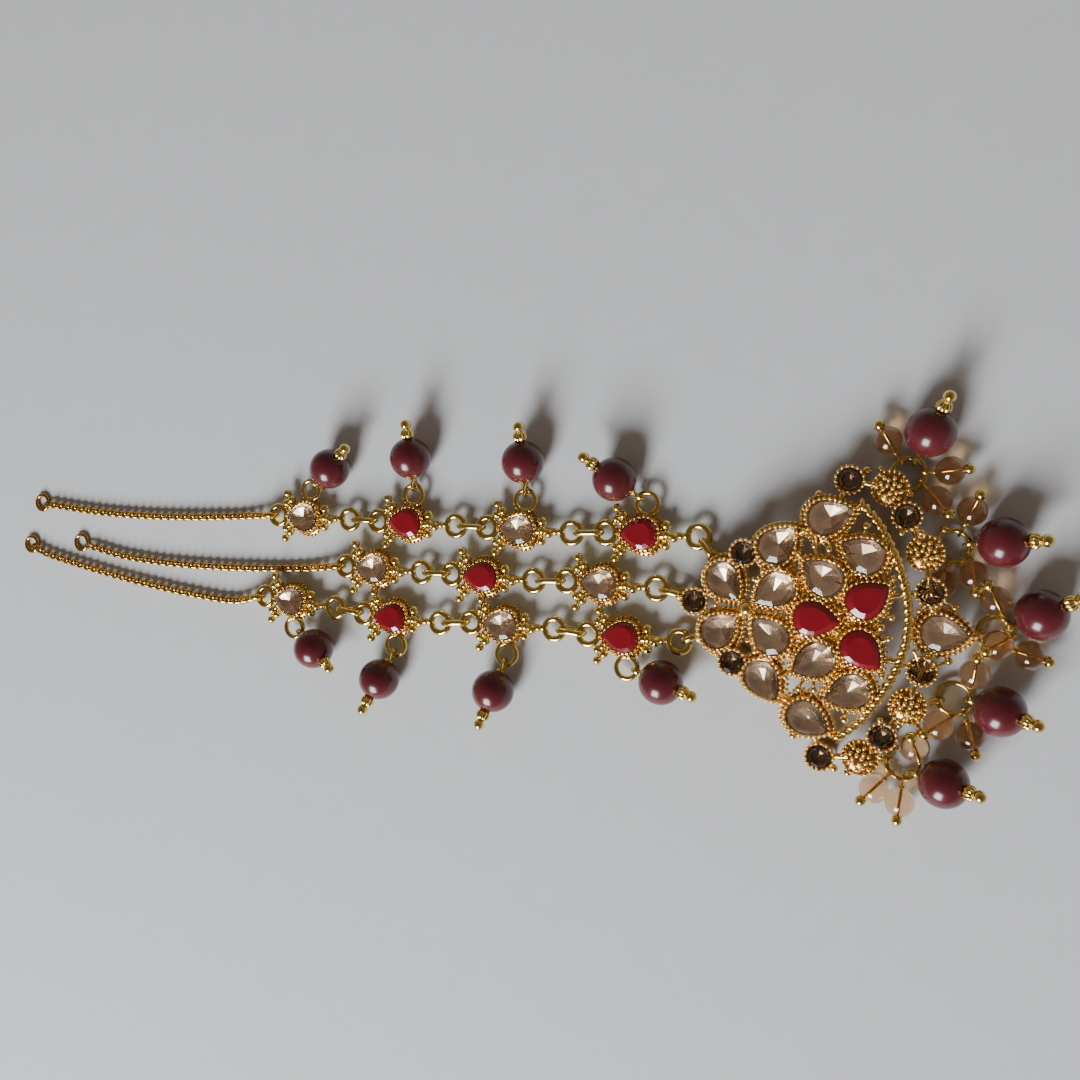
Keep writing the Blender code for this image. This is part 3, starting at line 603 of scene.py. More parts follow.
smoky_glass = cut_glass("smoky_glass", (0.55, 0.46, 0.40), 1.55)
smoky_film = silvering("smoky_film", (0.50, 0.40, 0.28), (0.14, 0.10, 0.07))
cups, rows, cut = [], [], []
for setting, side, name in sided_settings("foot", "chaton"):
    place = PENDANT @ setting_place(setting, side)
    depth = place.translation.z - JEWEL.translation.z if setting.kind == "foot" else CHATON_DEPTH
    cups.append(chaton_cup(place, depth))
    rows.append(beaded_wire(place, round_outline, CHATON_WIDTH, CHATON_WIDTH, RIM_ROW))
    cut.append(cut_stone(place, round_outline, CHATON_SIDES, CHATON_WIDTH, CHATON_WIDTH, CHATON_CROWN,
                         CHATON_BACK))
chaton_cups = piece("chaton_cups", cups, [pendant_gold_and_painted_shade])
chaton_wires = piece("chaton_beaded_wires", rows, [wire_plate], GRAIN_CREASE)
chatons = flat_facets(piece("chaton_stones", cut, [smoky_glass, smoky_film]))
for item, finish in ((chaton_cups, "gold"), (chaton_wires, "gold"), (chatons, "clear_stone")):
    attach(item, "root")
    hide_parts("pendant_frame")


# Grain clusters
# Four round heaps of gold grains, fused on a low dome inside a ring of beaded wire.
CLUSTER_BASE = [(2.80, -1.50), (2.95, -1.10), (2.60, -0.80), (1.90, -0.45), (0.90, -0.20)]
CLUSTER_SIDES = 32
CLUSTER_GRAINS = 19
CLUSTER_GRAIN = 0.43 * MM
CLUSTER_REACH = 2.25 * MM
CLUSTER_TOP = 0.05
CLUSTER_FALL = 0.55
CLUSTER_UNEVEN = 0.12
CLUSTER_WAVE = 5.0
CLUSTER_RING = 2.85 * MM
CLUSTER_RING_DROP = 0.70 * MM
CLUSTER_RING_PITCH = 0.80 * MM
GOLDEN_TURN = math.radians(137.5)


def turned(place, outline, sides, profile, foot=0.0):
    """Shell turned through a profile of radius and height in millimetres over a foot."""
    return stack(place, outline, sides, [(radius * MM, radius * MM, foot + height * MM)
                                         for radius, height in profile])


def cluster(place):
    """Low dome with grains laid in a spiral, and its ring of beads."""
    grains = []
    for step in range(CLUSTER_GRAINS):
        share = math.sqrt((step + 0.5) / CLUSTER_GRAINS)
        reach = CLUSTER_REACH * share
        height = CLUSTER_TOP - CLUSTER_FALL * share ** 2 + CLUSTER_UNEVEN * math.sin(CLUSTER_WAVE * step)
        turn = step * GOLDEN_TURN
        grains.append(Vector((reach * math.cos(turn), reach * math.sin(turn), height * MM)))
    ring_points = even_round(round_outline, CLUSTER_RING, CLUSTER_RING, CLUSTER_RING_PITCH)
    ring_place = place @ Matrix.Translation((0.0, 0.0, -CLUSTER_RING_DROP))
    return turned(place, round_outline, CLUSTER_SIDES, CLUSTER_BASE), [
        bead_string(place, grains, CLUSTER_GRAIN), bead_string(ring_place, ring_points, GRAIN_RADIUS)]


# Painted shade: deeper in colour low down, from 2.5 mm to 6 mm above the paper
grain_plate = gold_plate("grain_plate", (1.0, 0.78, 0.32), (0.66, 0.43, 0.13), 2.5, 6.0, 0.03)
bases, heaps = [], []
for seat in seats("cluster"):
    base, grains = cluster(seat)
    bases.append(base)
    heaps += grains
# The bases take the pendant's darker gold as painted shade between the grains
cluster_bases = piece("cluster_bases", bases, [pendant_gold_and_painted_shade])
cluster_grains = piece("cluster_grains", heaps, [grain_plate], GRAIN_CREASE)
for item in (cluster_bases, cluster_grains):
    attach(item, "root")
    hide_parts("pendant_frame")


# Twisted rope along the fan
# Two round gold wires twisted together and laid over the dome from one outer cluster to the
# other, soldered to the cups that it passes.
ROPE_RADIUS = 0.6 * MM
ROPE_STRAND = ROPE_RADIUS * 0.7
ROPE_TURN = 2.8 * MM
ROPE_STEP = 0.25 * MM
ROPE_SIDES = 8
STRAIGHT_UP = 1e-6
ROPE_POINTS = [(25.5, 19.6), (28.9, 16.3), (31.6, 12.0), (33.8, 7.0), (34.8, 3.0), (35.0, 0.0)]


def smooth_route(points, gap):
    """Even points along the smooth curve through a route."""
    ends = [2 * points[0] - points[1]] + points + [2 * points[-1] - points[-2]]
    route = []
    for a, b, c, d in zip(ends, ends[1:], ends[2:], ends[3:]):
        steps = max(1, round((c - b).length / gap))
        for step in range(steps):
            t = step / steps
            route.append(((2 * b) + (c - a) * t + (2 * a - 5 * b + 4 * c - d) * t ** 2
                          + (3 * b - a - 3 * c + d) * t ** 3) / 2)
    return route + [points[-1]]


def along(way):
    """Turn that brings Z on a way, with X level."""
    way = way.normalized()
    level = way.cross(Vector((0.0, 0.0, 1.0)))
    level = level.normalized() if level.length > STRAIGHT_UP else Vector((1.0, 0.0, 0.0))
    return Matrix((level, way.cross(level), way)).transposed().to_4x4()


def way_at(points, step):
    """Way along a route at one of its points."""
    return points[min(step + 1, len(points) - 1)] - points[max(step - 1, 0)]


def drawn_wire(points, radius, sides):
    """Round wire extruded from point to point."""
    shape = bmesh.new()
    bmesh.ops.create_circle(shape, cap_ends=True, radius=radius, segments=sides)
    shape.faces.ensure_lookup_table()
    top = shape.faces[0]
    before = Matrix.Identity(4)
    for step, point in enumerate(points):
        place = Matrix.Translation(point) @ along(way_at(points, step))
        if step:
            top = raised(shape, top, step == 1)
        bmesh.ops.transform(shape, matrix=place @ before.inverted(), verts=top.verts)
        before = place
    bmesh.ops.recalc_face_normals(shape, faces=shape.faces)
    return shape


def twisted(route, turn, offset, start):
    """Points of one strand that winds round a route, a full turn in each length of it."""
    points = []
    run = 0.0
    for step, point in enumerate(route):
        if step:
            run += (point - route[step - 1]).length
        angle = start + math.tau * run / turn
        side = Vector((math.cos(angle), math.sin(angle), 0.0))
        points.append(point + along(way_at(route, step)) @ side * offset)
    return points


half = [Vector((u * MM, v * MM, dome(u * MM, v * MM)[0] - ROPE_RADIUS)) for u, v in ROPE_POINTS]
rope_route = half + [Vector((point.x, -point.y, point.z)) for point in reversed(half[:-1])]
rope_route = smooth_route([PENDANT @ point for point in rope_route], ROPE_STEP)
strands = [drawn_wire(twisted(rope_route, ROPE_TURN, ROPE_STRAND, start), ROPE_STRAND, ROPE_SIDES)
           for start in (0.0, math.pi)]
rope = piece("fan_rope", strands, [wire_plate], WIRE_CREASE)
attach(rope, "root")
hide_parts("pendant_frame")


# Solder wires, hub and gold balls
# Short wires under the cups join neighbours, and small balls of gold cover the joints and sit
# in the gaps of the openwork.
SOLDER_RADIUS = 0.5 * MM
HUB_RADIUS = 1.3 * MM
BALL_STEM = 0.3 * MM
WIRE_SIDES = 12
BALL_SIDES = 16
FOOT_RISE = SOLDER_RADIUS * 1.3
CLUSTER_DEPTH = 1.5 * MM
NAMED = {setting.name: setting for setting in SETTINGS}
SOLDERS = [
    ("apex", "wing"), ("wing", "hub"), ("petal", "hub"), ("petal", "heart"), ("flank", "side"),
    ("flank", "corner"), ("heart", "fan"), ("corner", "edge"), ("edge", "outer"), ("rim", "inner"),
    ("inner", "brow"), ("brow", "tail"), ("brow", "fan"),
]
# Balls on one side: u, v, radius and how far under the dome
BALLS = [
    (9.5, 0.0, 0.8, 0.6), (10.4, 11.2, 0.65, 0.6), (11.6, 6.8, 0.6, 0.5), (10.2, 5.2, 0.45, 0.5),
    (17.3, 6.3, 0.5, 0.4), (19.0, 20.2, 0.7, 1.0), (19.4, 11.8, 0.6, 0.3), (21.8, 11.5, 0.65, 0.2),
    (24.3, 11.2, 0.5, 0.4), (17.4, 14.0, 0.5, 0.5), (17.0, 10.2, 0.5, 0.5), (26.0, 24.8, 0.7, 0.9),
    (27.0, 15.8, 0.7, 0.3), (29.9, 14.0, 0.5, 0.4), (24.9, 6.0, 0.5, 0.3), (24.6, 1.6, 0.5, 0.2),
    (31.0, 0.0, 0.7, 0.1), (32.4, 1.7, 0.6, 0.2), (32.0, 7.9, 0.5, 0.3), (36.4, 3.3, 0.5, 0.3),
    (38.3, 3.6, 0.5, 0.5), (41.6, 4.3, 0.65, 0.5), (38.7, 16.4, 0.7, 0.8), (35.3, 15.6, 0.6, 0.5),
    (32.4, 15.2, 0.5, 0.4), (28.2, 25.2, 0.65, 0.9), (33.0, 21.5, 0.6, 0.7), (4.0, 0.0, 0.6, 0.6),
    (2.6, 1.6, 0.45, 0.6), (5.6, 8.6, 0.5, 0.8),
]


def foot_points():
    """Low middle point of every setting, where the solder wires meet."""
    points = {}
    for setting, side, name in sided_settings("foot", "chaton", "cluster", "clear", "red"):
        drop = {"cluster": CLUSTER_DEPTH, "chaton": CHATON_DEPTH}.get(setting.kind, CUP_DEPTH)
        points[name] = setting_place(setting, side) @ Vector((0.0, 0.0, -drop + FOOT_RISE))
    return points


def side_name(name, side, points):
    """Full name of a setting on one side."""
    if name in points:
        return name
    return name + ("_left" if side > 0 else "_right")


def wire_between(start, end, radius, end_radius=None):
    """Straight round wire between two points, tapered where it has an end radius."""
    way = end - start
    shape = bmesh.new()
    place = Matrix.Translation((start + end) / 2.0) @ way.to_track_quat("Z", "Y").to_matrix().to_4x4()
    bmesh.ops.create_cone(shape, cap_ends=True, segments=WIRE_SIDES, radius1=radius,
                          radius2=end_radius or radius, depth=way.length, matrix=place)
    return shape


def ball(centre, radius, fine=BALL_SIDES):
    """Round gold ball."""
    shape = bmesh.new()
    bmesh.ops.create_uvsphere(shape, u_segments=fine, v_segments=fine // 2, radius=radius,
                              matrix=Matrix.Translation(centre))
    return shape


feet = foot_points()
hub_u = (NAMED["wing"].u + NAMED["petal"].u) / 2.0 * MM
feet["hub"] = Vector((hub_u, 0.0, dome(hub_u, 0.0)[0] - CUP_DEPTH + HUB_RADIUS))
wires = {}
for side in (1, -1):
    for first, second in SOLDERS:
        pair = (side_name(first, side, feet), side_name(second, side, feet))
        wires[pair] = wire_between(PENDANT @ feet[pair[0]], PENDANT @ feet[pair[1]], SOLDER_RADIUS)
joints = list(wires.values())
joints.append(wire_between(PENDANT @ feet["fan_left"], PENDANT @ feet["fan_right"], SOLDER_RADIUS))
joints.append(ball(PENDANT @ feet["hub"], HUB_RADIUS))
for u, v, radius, under in BALLS:
    for side in ((1, -1) if v else (1,)):
        height = dome(u * MM, v * MM)[0] - under * MM
        middle = PENDANT @ Vector((u * MM, v * side * MM, height))
        nearest = min((PENDANT @ point for point in feet.values()),
                      key=lambda point: (point - middle).length)
        joints.append(ball(middle, radius * MM))
        joints.append(wire_between(middle, nearest, BALL_STEM))
solder = piece("solder_wires_and_balls", joints, [wire_plate])
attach(solder, "root")
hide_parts("pendant_frame")


# Strand plaques
# Pear stones in gold bezels, eleven of them, each with a thick loop at both ends, a tapering
# shank of gold balls and, on the outer strands, a side loop for a drop.
PLAQUE_LENGTH = 7.0 * MM
PLAQUE_WIDTH = 5.8 * MM
PLAQUE_RIM = 3.0 * MM
PLAQUE_CROWN = 0.9 * MM
PLAQUE_BACK = 0.8 * MM
PLAQUE_PITCH = 23.7 * MM
PLAQUE_WALL = [(0.30, -2.00)] + CUP_WALL[1:-1] + [(0.02, -1.60)]
LOOP_HEIGHT = 2.0 * MM
LOOP_RADIUS = 1.9 * MM
LOOP_WIRE = 0.6 * MM
LOOP_LEFT = 6.3 * MM
LOOP_RIGHT = 10.8 * MM
RING_SIDES = 32
ON_AXIS = 1e-7
SIDE_LOOP_X = 1.3 * MM
SIDE_LOOP_Y = 5.5 * MM
SIDE_LOOP_RADIUS = 2.0 * MM
SIDE_LOOP_WIRE = 0.48 * MM
SIDE_JOINT = (0.2 * MM, 0.1 * MM)
SIDE_JOINT_RADIUS = 0.65 * MM
UPRIGHT = Matrix.Rotation(math.pi / 2.0, 4, "X")
Strand = namedtuple("Strand", "name x y side reds plaques")
Plaque = namedtuple("Plaque", "y turn")
STRANDS = [
    Strand("upper", 18.4, 1.2, 1, (0, 2), [
        Plaque(0.0, -2), Plaque(0.7, -3), Plaque(1.9, -3), Plaque(3.1, -3)]),
    Strand("middle", 10.9, -7.9, 0, (1,), [
        Plaque(0.0, -3), Plaque(0.8, -3), Plaque(1.9, -3)]),
    Strand("lower", 15.0, -17.5, -1, (0, 2), [
        Plaque(0.0, -2), Plaque(1.3, -2), Plaque(1.9, -4), Plaque(4.5, -6)]),
]
# Straight wires of a plaque: start, end and the radius at each
PLAQUE_WIRES = [
    ((-4.2, 3.6, 2.0), (-2.0, 1.2, 2.0), 0.5, 0.5), ((-4.2, -3.6, 2.0), (-2.0, -1.2, 2.0), 0.5, 0.5),
    ((3.8, 0.0, 2.0), (9.2, 0.0, 2.0), 0.9, 0.5),
]
# Gold balls of a plaque: x, y, height and radius; the shank runs to +X
PLAQUE_BALLS = [
    (-4.3, 4.6, 2.2, 0.86), (-3.0, 3.3, 2.4, 0.86), (-4.3, 2.6, 2.3, 0.80), (-3.4, 2.0, 2.2, 0.70),
    (-4.3, -4.6, 2.2, 0.86), (-3.0, -3.3, 2.4, 0.86), (-4.3, -2.6, 2.3, 0.80), (-3.4, -2.0, 2.2, 0.70),
    (4.9, 1.8, 2.2, 0.95), (5.2, 0.1, 2.6, 0.88), (5.0, -1.8, 2.2, 0.95), (6.5, -0.4, 2.4, 0.88),
    (7.7, 0.0, 2.3, 0.74),
]


def plaque_place(strand, index):
    """Matrix of a plaque, counted back from the pendant."""
    plaque = strand.plaques[index]
    x = strand.x * MM - PLAQUE_PITCH * index
    y = (strand.y + plaque.y) * MM
    return JEWEL @ Matrix.Translation((x, y, 0.0)) @ Matrix.Rotation(math.radians(plaque.turn), 4, "Z")


def wire_ring(place, radius, wire, stretch=0.0, sides=RING_SIDES, wire_sides=WIRE_SIDES):
    """Ring of round wire about Z; stretch is the straight run that makes it oval along X."""
    shape = bmesh.new()
    bmesh.ops.create_circle(shape, cap_ends=False, radius=wire, segments=wire_sides,
                            matrix=Matrix.Translation((radius, 0.0, 0.0)) @ UPRIGHT)
    bmesh.ops.spin(shape, geom=shape.verts[:] + shape.edges[:], cent=(0.0, 0.0, 0.0), axis=(0.0, 0.0, 1.0),
                   angle=math.tau, steps=sides, use_merge=True)
    for vert in shape.verts:
        if abs(vert.co.x) > ON_AXIS:
            vert.co.x += math.copysign(stretch / 2.0, vert.co.x)
    bmesh.ops.recalc_face_normals(shape, faces=shape.faces)
    bmesh.ops.transform(shape, matrix=place, verts=shape.verts)
    return shape


# Painted shade: both deeper in colour low down, the plaques from 0.5 mm to 3.2 mm and the rings from the
# paper to 3 mm
plaque_plate = gold_plate("plaque_plate", (0.90, 0.60, 0.20), (0.55, 0.28, 0.07), 0.5, 3.2, 0.10)
ring_plate = gold_plate("ring_plate", (0.88, 0.68, 0.22), (0.46, 0.31, 0.07), 0.0, 3.0, 0.05)
cups, rows, loops, clear_cut, red_cut = [], [], [], [], []
clear_names, red_names, all_names = [], [], []
for strand in STRANDS:
    for index in range(len(strand.plaques)):
        place = plaque_place(strand, index)
        seat = place @ Matrix.Translation((0.0, 0.0, PLAQUE_RIM)) @ Matrix.Rotation(math.pi, 4, "Z")
        name = f"plaque_{strand.name}_{index + 1}"
        cups.append(bezel_cup(seat, pear, PLAQUE_LENGTH, PLAQUE_WIDTH, PLAQUE_WALL))
        rows.append(beaded_wire(seat, pear, PLAQUE_LENGTH, PLAQUE_WIDTH, RIM_ROW))
        rows.append(beaded_wire(seat, pear, PLAQUE_LENGTH, PLAQUE_WIDTH, SKIRT_ROW))
        red = index in strand.reds
        sides, table = (RED_SIDES, RED_TABLE) if red else (STONE_SIDES, TABLE_SHARE)
        stone = cut_stone(seated(seat, len(all_names)), pear, sides, PLAQUE_LENGTH, PLAQUE_WIDTH,
                          PLAQUE_CROWN, PLAQUE_BACK, table)
        (red_cut if red else clear_cut).append(stone)
        (red_names if red else clear_names).append(name)
        all_names.append(name)
        for x, y, height, radius in PLAQUE_BALLS:
            loops.append(ball(place @ Vector((x * MM, y * MM, height * MM)), radius * MM))
        for start, end, thick, thin in PLAQUE_WIRES:
            start, end = place @ (Vector(start) * MM), place @ (Vector(end) * MM)
            loops.append(wire_between(start, end, thick * MM, thin * MM))
        for offset in (-LOOP_LEFT, LOOP_RIGHT):
            middle = Matrix.Translation((offset, 0.0, LOOP_HEIGHT))
            loops.append(wire_ring(place @ middle, LOOP_RADIUS, LOOP_WIRE))
        if strand.side:
            middle = Vector((SIDE_LOOP_X, SIDE_LOOP_Y * strand.side, LOOP_HEIGHT))
            loops.append(wire_ring(place @ Matrix.Translation(middle), SIDE_LOOP_RADIUS, SIDE_LOOP_WIRE))
            touch = Vector((SIDE_JOINT[0], (SIDE_LOOP_RADIUS + SIDE_JOINT[1]) * strand.side, 0.0))
            loops.append(ball(place @ (middle - touch), SIDE_JOINT_RADIUS))
plaque_cups = piece("plaque_bezels", cups, [plaque_plate])
plaque_wires = piece("plaque_beaded_wires", rows, [wire_plate], GRAIN_CREASE)
plaque_loops = piece("plaque_loops_and_balls", loops, [ring_plate])
plaque_clears = flat_facets(piece("plaque_clear_stones", clear_cut, [champagne_glass, champagne_film]))
plaque_reds = flat_facets(piece("plaque_red_stones", red_cut, [ruby_glass, ruby_glass]))
for item, finish, names in ((plaque_cups, "gold", all_names), (plaque_wires, "gold", all_names),
                            (plaque_loops, "gold", all_names), (plaque_clears, "clear_stone", clear_names),
                            (plaque_reds, "red_stone", red_names)):
    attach(item, "root")
    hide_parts(*names)


# Jump links and the pendant's eyes
# Upright oval links of thick gold wire join plaque to plaque and each strand to a flat eye
# soldered on the pendant; five upright eyes hold the fringe rings.
LINK_HEIGHT = 3.2 * MM
LINK_WIRE = 0.38 * MM
LINK_THICK = 0.6 * MM
CAD_LOOP_RADIUS = 2.0 * MM
CAD_LOOP_WIRE = 0.48 * MM
RUN = 0.3 * MM
EYE_RADIUS = 1.0 * MM
EYE_WIRE = 0.3 * MM
EYE_CLEAR = 0.7 * MM
# Sides round a small eye and round its wire
EYE_SIDES = (20, 8)
APEX_REACH = 2.5 * MM
FRINGE_RADIUS = 2.6 * MM
FRINGE_WIRE = 0.42 * MM
FRINGE_HEIGHT = 1.3 * MM
FRINGE_SIDES = 40
# Drops of a bunch, the maroon one first: angle of the hook on the ring, way it lies and its lift
Bunch = namedtuple("Bunch", "name u v holder side drops")
Drop = namedtuple("Drop", "hook heading lift")
BUNCHES = [
    Bunch("bunch_1", 32.3, 24.8, "outer", 1, [
        Drop(70, 68, 0.0), Drop(125, 125, 0.0), Drop(10, 10, 0.0), Drop(-30, -45, 0.3)]),
    Bunch("bunch_2", 40.3, 13.8, "inner", 1, [
        Drop(15, 10, 0.0), Drop(70, 70, 0.0), Drop(-15, -75, 0.4), Drop(-100, -100, 0.0)]),
    Bunch("bunch_3", 47.9, 0.7, "tail", 1, [
        Drop(30, 35, 0.0), Drop(60, 120, 0.5), Drop(-5, -150, 1.9), Drop(-50, -10, 0.2)]),
    Bunch("bunch_4", 43.1, -10.7, "inner", -1, [
        Drop(2, -6, 0.9), Drop(27, 87, 0.6), Drop(-50, -68, 0.0), Drop(-75, -145, 1.2)]),
    Bunch("bunch_5", 36.5, -22.6, "outer", -1, [
        Drop(-30, 0, 0.8), Drop(26, 109, 1.8), Drop(-82, -92, 0.4), Drop(-130, -130, 0.3)]),
]


def loop_place(strand, index, offset):
    """Middle of a plaque's end loop."""
    return plaque_place(strand, index) @ Vector((offset, 0.0, LOOP_HEIGHT))


def level_way(start, end):
    """Level way of length 1 from one point towards another."""
    way = end - start
    way.z = 0.0
    return way.normalized()


def strand_eye_place(strand):
    """Middle of the flat eye that a strand's last link hooks into, in the pendant's frame."""
    holder = NAMED["wing" if strand.side else "apex"]
    centre = Vector((holder.u * MM, holder.v * strand.side * MM, LOOP_HEIGHT))
    reach = PEAR_LENGTH / 2.0 + EYE_CLEAR if strand.side else APEX_REACH
    link = PENDANT.inverted() @ loop_place(strand, 0, LOOP_RIGHT)
    return centre + level_way(centre, link) * (reach + EYE_RADIUS / 2.0)


def hooked(centre, towards, radius, wire):
    """Point just inside a loop, where a link's wire runs, on the side of another point."""
    return centre + level_way(centre, towards) * (radius - wire - RUN - LINK_WIRE)


def jump_link(start, end):
    """Upright oval link whose end wires run through two points."""
    way = end - start
    radius = LINK_HEIGHT / 2.0 - LINK_WIRE
    turn = Matrix.Rotation(math.atan2(way.y, way.x), 4, "Z")
    return wire_ring(Matrix.Translation((start + end) / 2.0) @ turn @ UPRIGHT, radius, LINK_THICK,
                     way.length - 2.0 * radius)


def small_eye(place, radius=EYE_RADIUS, wire=EYE_WIRE):
    """Round eye of thin wire."""
    return wire_ring(place, radius, wire, 0.0, *EYE_SIDES)


def bunch_place(bunch):
    """Middle of a fringe ring, in the pendant's frame."""
    return Vector((bunch.u * MM, bunch.v * MM, FRINGE_HEIGHT))


rings = []
link_names = []
for strand in STRANDS:
    for index in range(len(strand.plaques) - 1):
        far = loop_place(strand, index + 1, LOOP_RIGHT)
        near = loop_place(strand, index, -LOOP_LEFT)
        rings.append(jump_link(hooked(far, near, CAD_LOOP_RADIUS, CAD_LOOP_WIRE),
                               hooked(near, far, CAD_LOOP_RADIUS, CAD_LOOP_WIRE)))
    far = loop_place(strand, 0, LOOP_RIGHT)
    near = PENDANT @ strand_eye_place(strand)
    rings.append(jump_link(hooked(far, near, CAD_LOOP_RADIUS, CAD_LOOP_WIRE),
                           hooked(near, far, EYE_RADIUS, EYE_WIRE)))
    link_names += [f"link_{strand.name}_{index + 1}" for index in range(len(strand.plaques))]
jump_links = piece("jump_links", rings, [ring_plate])
eyes = []
for strand in STRANDS:
    centre = strand_eye_place(strand)
    holder = feet[side_name("wing", strand.side, feet) if strand.side else "apex"]
    inward = level_way(centre, holder)
    eyes.append(small_eye(PENDANT @ Matrix.Translation(centre)))
    eyes.append(wire_between(PENDANT @ (centre + inward * EYE_RADIUS), PENDANT @ holder, SOLDER_RADIUS))
for bunch in BUNCHES:
    holder = feet[side_name(bunch.holder, bunch.side, feet)]
    inward = level_way(bunch_place(bunch), holder)
    hook = bunch_place(bunch) + inward * FRINGE_RADIUS
    turn = Matrix.Rotation(math.atan2(inward.y, inward.x), 4, "Z")
    eyes.append(small_eye(PENDANT @ Matrix.Translation(hook) @ turn @ UPRIGHT))
    top = hook + Vector((0.0, 0.0, EYE_RADIUS))
    eyes.append(wire_between(PENDANT @ top, PENDANT @ holder, SOLDER_RADIUS))
pendant_eyes = piece("pendant_eyes", eyes, [ring_plate])
for item, names in ((jump_links, link_names), (pendant_eyes, ["pendant_frame"])):
    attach(item, "root")
    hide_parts(*names)


# Chains
# Three fine curb chains, each link an oval of round wire given a quarter twist, that end in
# a plain open ring for the hair.
CHAIN_RADIUS = 0.9 * MM
CHAIN_PITCH = 2.1 * MM
CHAIN_WIRE = 0.38 * MM
CHAIN_HALF_WIDTH = 0.58 * MM
CHAIN_TWIST = math.radians(48)
CHAIN_OVERLAP = 2.1
CHAIN_STEP = 0.4 * MM
# Sides round a link and round its wire
CHAIN_SIDES = (14, 8)
END_RING_RADIUS = 1.75 * MM
END_RING_WIRE = 0.42 * MM
CHAIN_ROUTES = {
    "upper": [(-69.5, 4.4), (-80.0, 4.2), (-93.7, 4.4), (-108.0, 5.3), (-120.0, 6.7), (-124.3, 7.3)],
    "middle": [(-54.5, -6.4), (-69.6, -6.6), (-85.6, -6.1), (-99.5, -4.8), (-108.0, -3.1), (-112.6, -2.0)],
    "lower": [(-72.3, -13.6), (-85.6, -12.1), (-99.5, -9.8), (-111.2, -7.4), (-123.2, -4.6), (-127.9, -2.8)],
}


def curb_link(place):
    """One twisted oval link, its length along X."""
    reach = (CHAIN_PITCH + CHAIN_OVERLAP * CHAIN_WIRE) / 2.0
    shape = wire_ring(Matrix.Identity(4), CHAIN_HALF_WIDTH, CHAIN_WIRE, 2.0 * (reach - CHAIN_HALF_WIDTH),
                      *CHAIN_SIDES)
    for vert in shape.verts:
        vert.co = Matrix.Rotation(CHAIN_TWIST * vert.co.x / reach, 3, "X") @ vert.co
    bmesh.ops.transform(shape, matrix=place, verts=shape.verts)
    return shape


def even_route(route, pitch):
    """Points a pitch apart along a fine route, with the way there."""
    found = []
    run = 0.0
    for one, other in zip(route, route[1:]):
        length = (other - one).length
        while run <= length:
            found.append((one.lerp(other, run / length), (other - one).normalized()))
            run += pitch
        run -= length
    return found


# Painted shade: the lower half of each link is deeper in colour, from 0.2 mm to 1.8 mm above the paper
chain_plate = gold_plate("chain_plate", (0.84, 0.55, 0.13), (0.40, 0.19, 0.035), 0.2, 1.8, 0.06)
for strand in STRANDS:
    loop = loop_place(strand, len(strand.plaques) - 1, -LOOP_LEFT)
    flat = [JEWEL @ Vector((x * MM, y * MM, CHAIN_RADIUS)) for x, y in CHAIN_ROUTES[strand.name]]
    inside = hooked(loop, flat[0], CAD_LOOP_RADIUS, CAD_LOOP_WIRE)
    way = (flat[0] - inside).normalized()
    way.z = 0.0
    outside = inside + way * (2.0 * (CAD_LOOP_WIRE + RUN + LINK_WIRE) + RUN)
    route = smooth_route([Vector((outside.x, outside.y, LOOP_HEIGHT))] + flat, CHAIN_STEP)
    last = (route[-1] - route[-2]).normalized()
    ring_centre = route[-1] + last * END_RING_RADIUS
    parts = [jump_link(inside, outside)]
    ring_place = Matrix.Translation((ring_centre.x, ring_centre.y, END_RING_WIRE + JEWEL.translation.z))
    parts.append(wire_ring(ring_place, END_RING_RADIUS, END_RING_WIRE))
    for point, heading in even_route(route, CHAIN_PITCH):
        turn = Matrix.Rotation(math.atan2(heading.y, heading.x), 4, "Z")
        parts.append(curb_link(Matrix.Translation(point) @ turn))
    chain = piece("curb_chain_" + strand.name, parts, [chain_plate], WIRE_CREASE)
    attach(chain, "root")
    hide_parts("chain_" + strand.name)


# Maroon bead drops
# Large round beads of polished maroon glass, threaded on a gold pin with an eye at the top and
# a ridged collar and a ball under the bead.
BEAD_RADIUS = 4.0 * MM
BEAD_REACH = 5.5 * MM
BEAD_SIDES = 40
SWIRL_SCALE = 180.0
SWIRL_DISTORTION = 1.5
COLLAR_RIDGES = 9
RIDGE_SIDES = 6
RIDGE_FOOT, RIDGE_RISE = 0.82, 0.18
# Fluted collar: radius, height over the bead's foot
COLLAR = [(0.60, 0.30), (1.10, -0.05), (1.32, -0.65), (1.30, -1.10), (1.05, -1.60), (0.55, -1.90)]
BALL_RADIUS = 1.05 * MM
BALL_SEAT = 0.8
DROP_PIN = 0.32 * MM
# Cap on the bead: radius, height over the bead's top
CAP = [(0.75 * MM, 0.2 * MM), (0.95 * MM, -0.1 * MM)]
SIDE_DROPS = {"upper": [142, 88, 87, 36], "lower": [-16, -106, -112, -33]}


def hang(hook, heading, reach, height):
    """Matrix of a drop whose eye is at a hook and whose bead lies at a height."""
    rise = math.asin((height - hook.z) / reach)
    turn = Matrix.Rotation(heading, 4, "Z")
    return Matrix.Translation(hook) @ turn @ Matrix.Rotation(-math.pi / 2.0 - rise, 4, "Y")


def ring_point(centre, degrees, radius):
    """Point of a level ring at an angle."""
    at = math.radians(degrees)
    return centre + Vector((math.cos(at), math.sin(at), 0.0)) * radius


def ridged(turn):
    """Round outline with rounded flutes."""
    reach = RIDGE_FOOT + RIDGE_RISE * abs(math.cos(COLLAR_RIDGES * turn / 2.0))
    return reach * math.cos(turn), reach * math.sin(turn)


def ball_at(place, height, radius, fine=BALL_SIDES):
    """Ball on a drop's pin."""
    shape = ball(Vector((0.0, 0.0, height)), radius, fine)
    bmesh.ops.transform(shape, matrix=place, verts=shape.verts)
    return shape


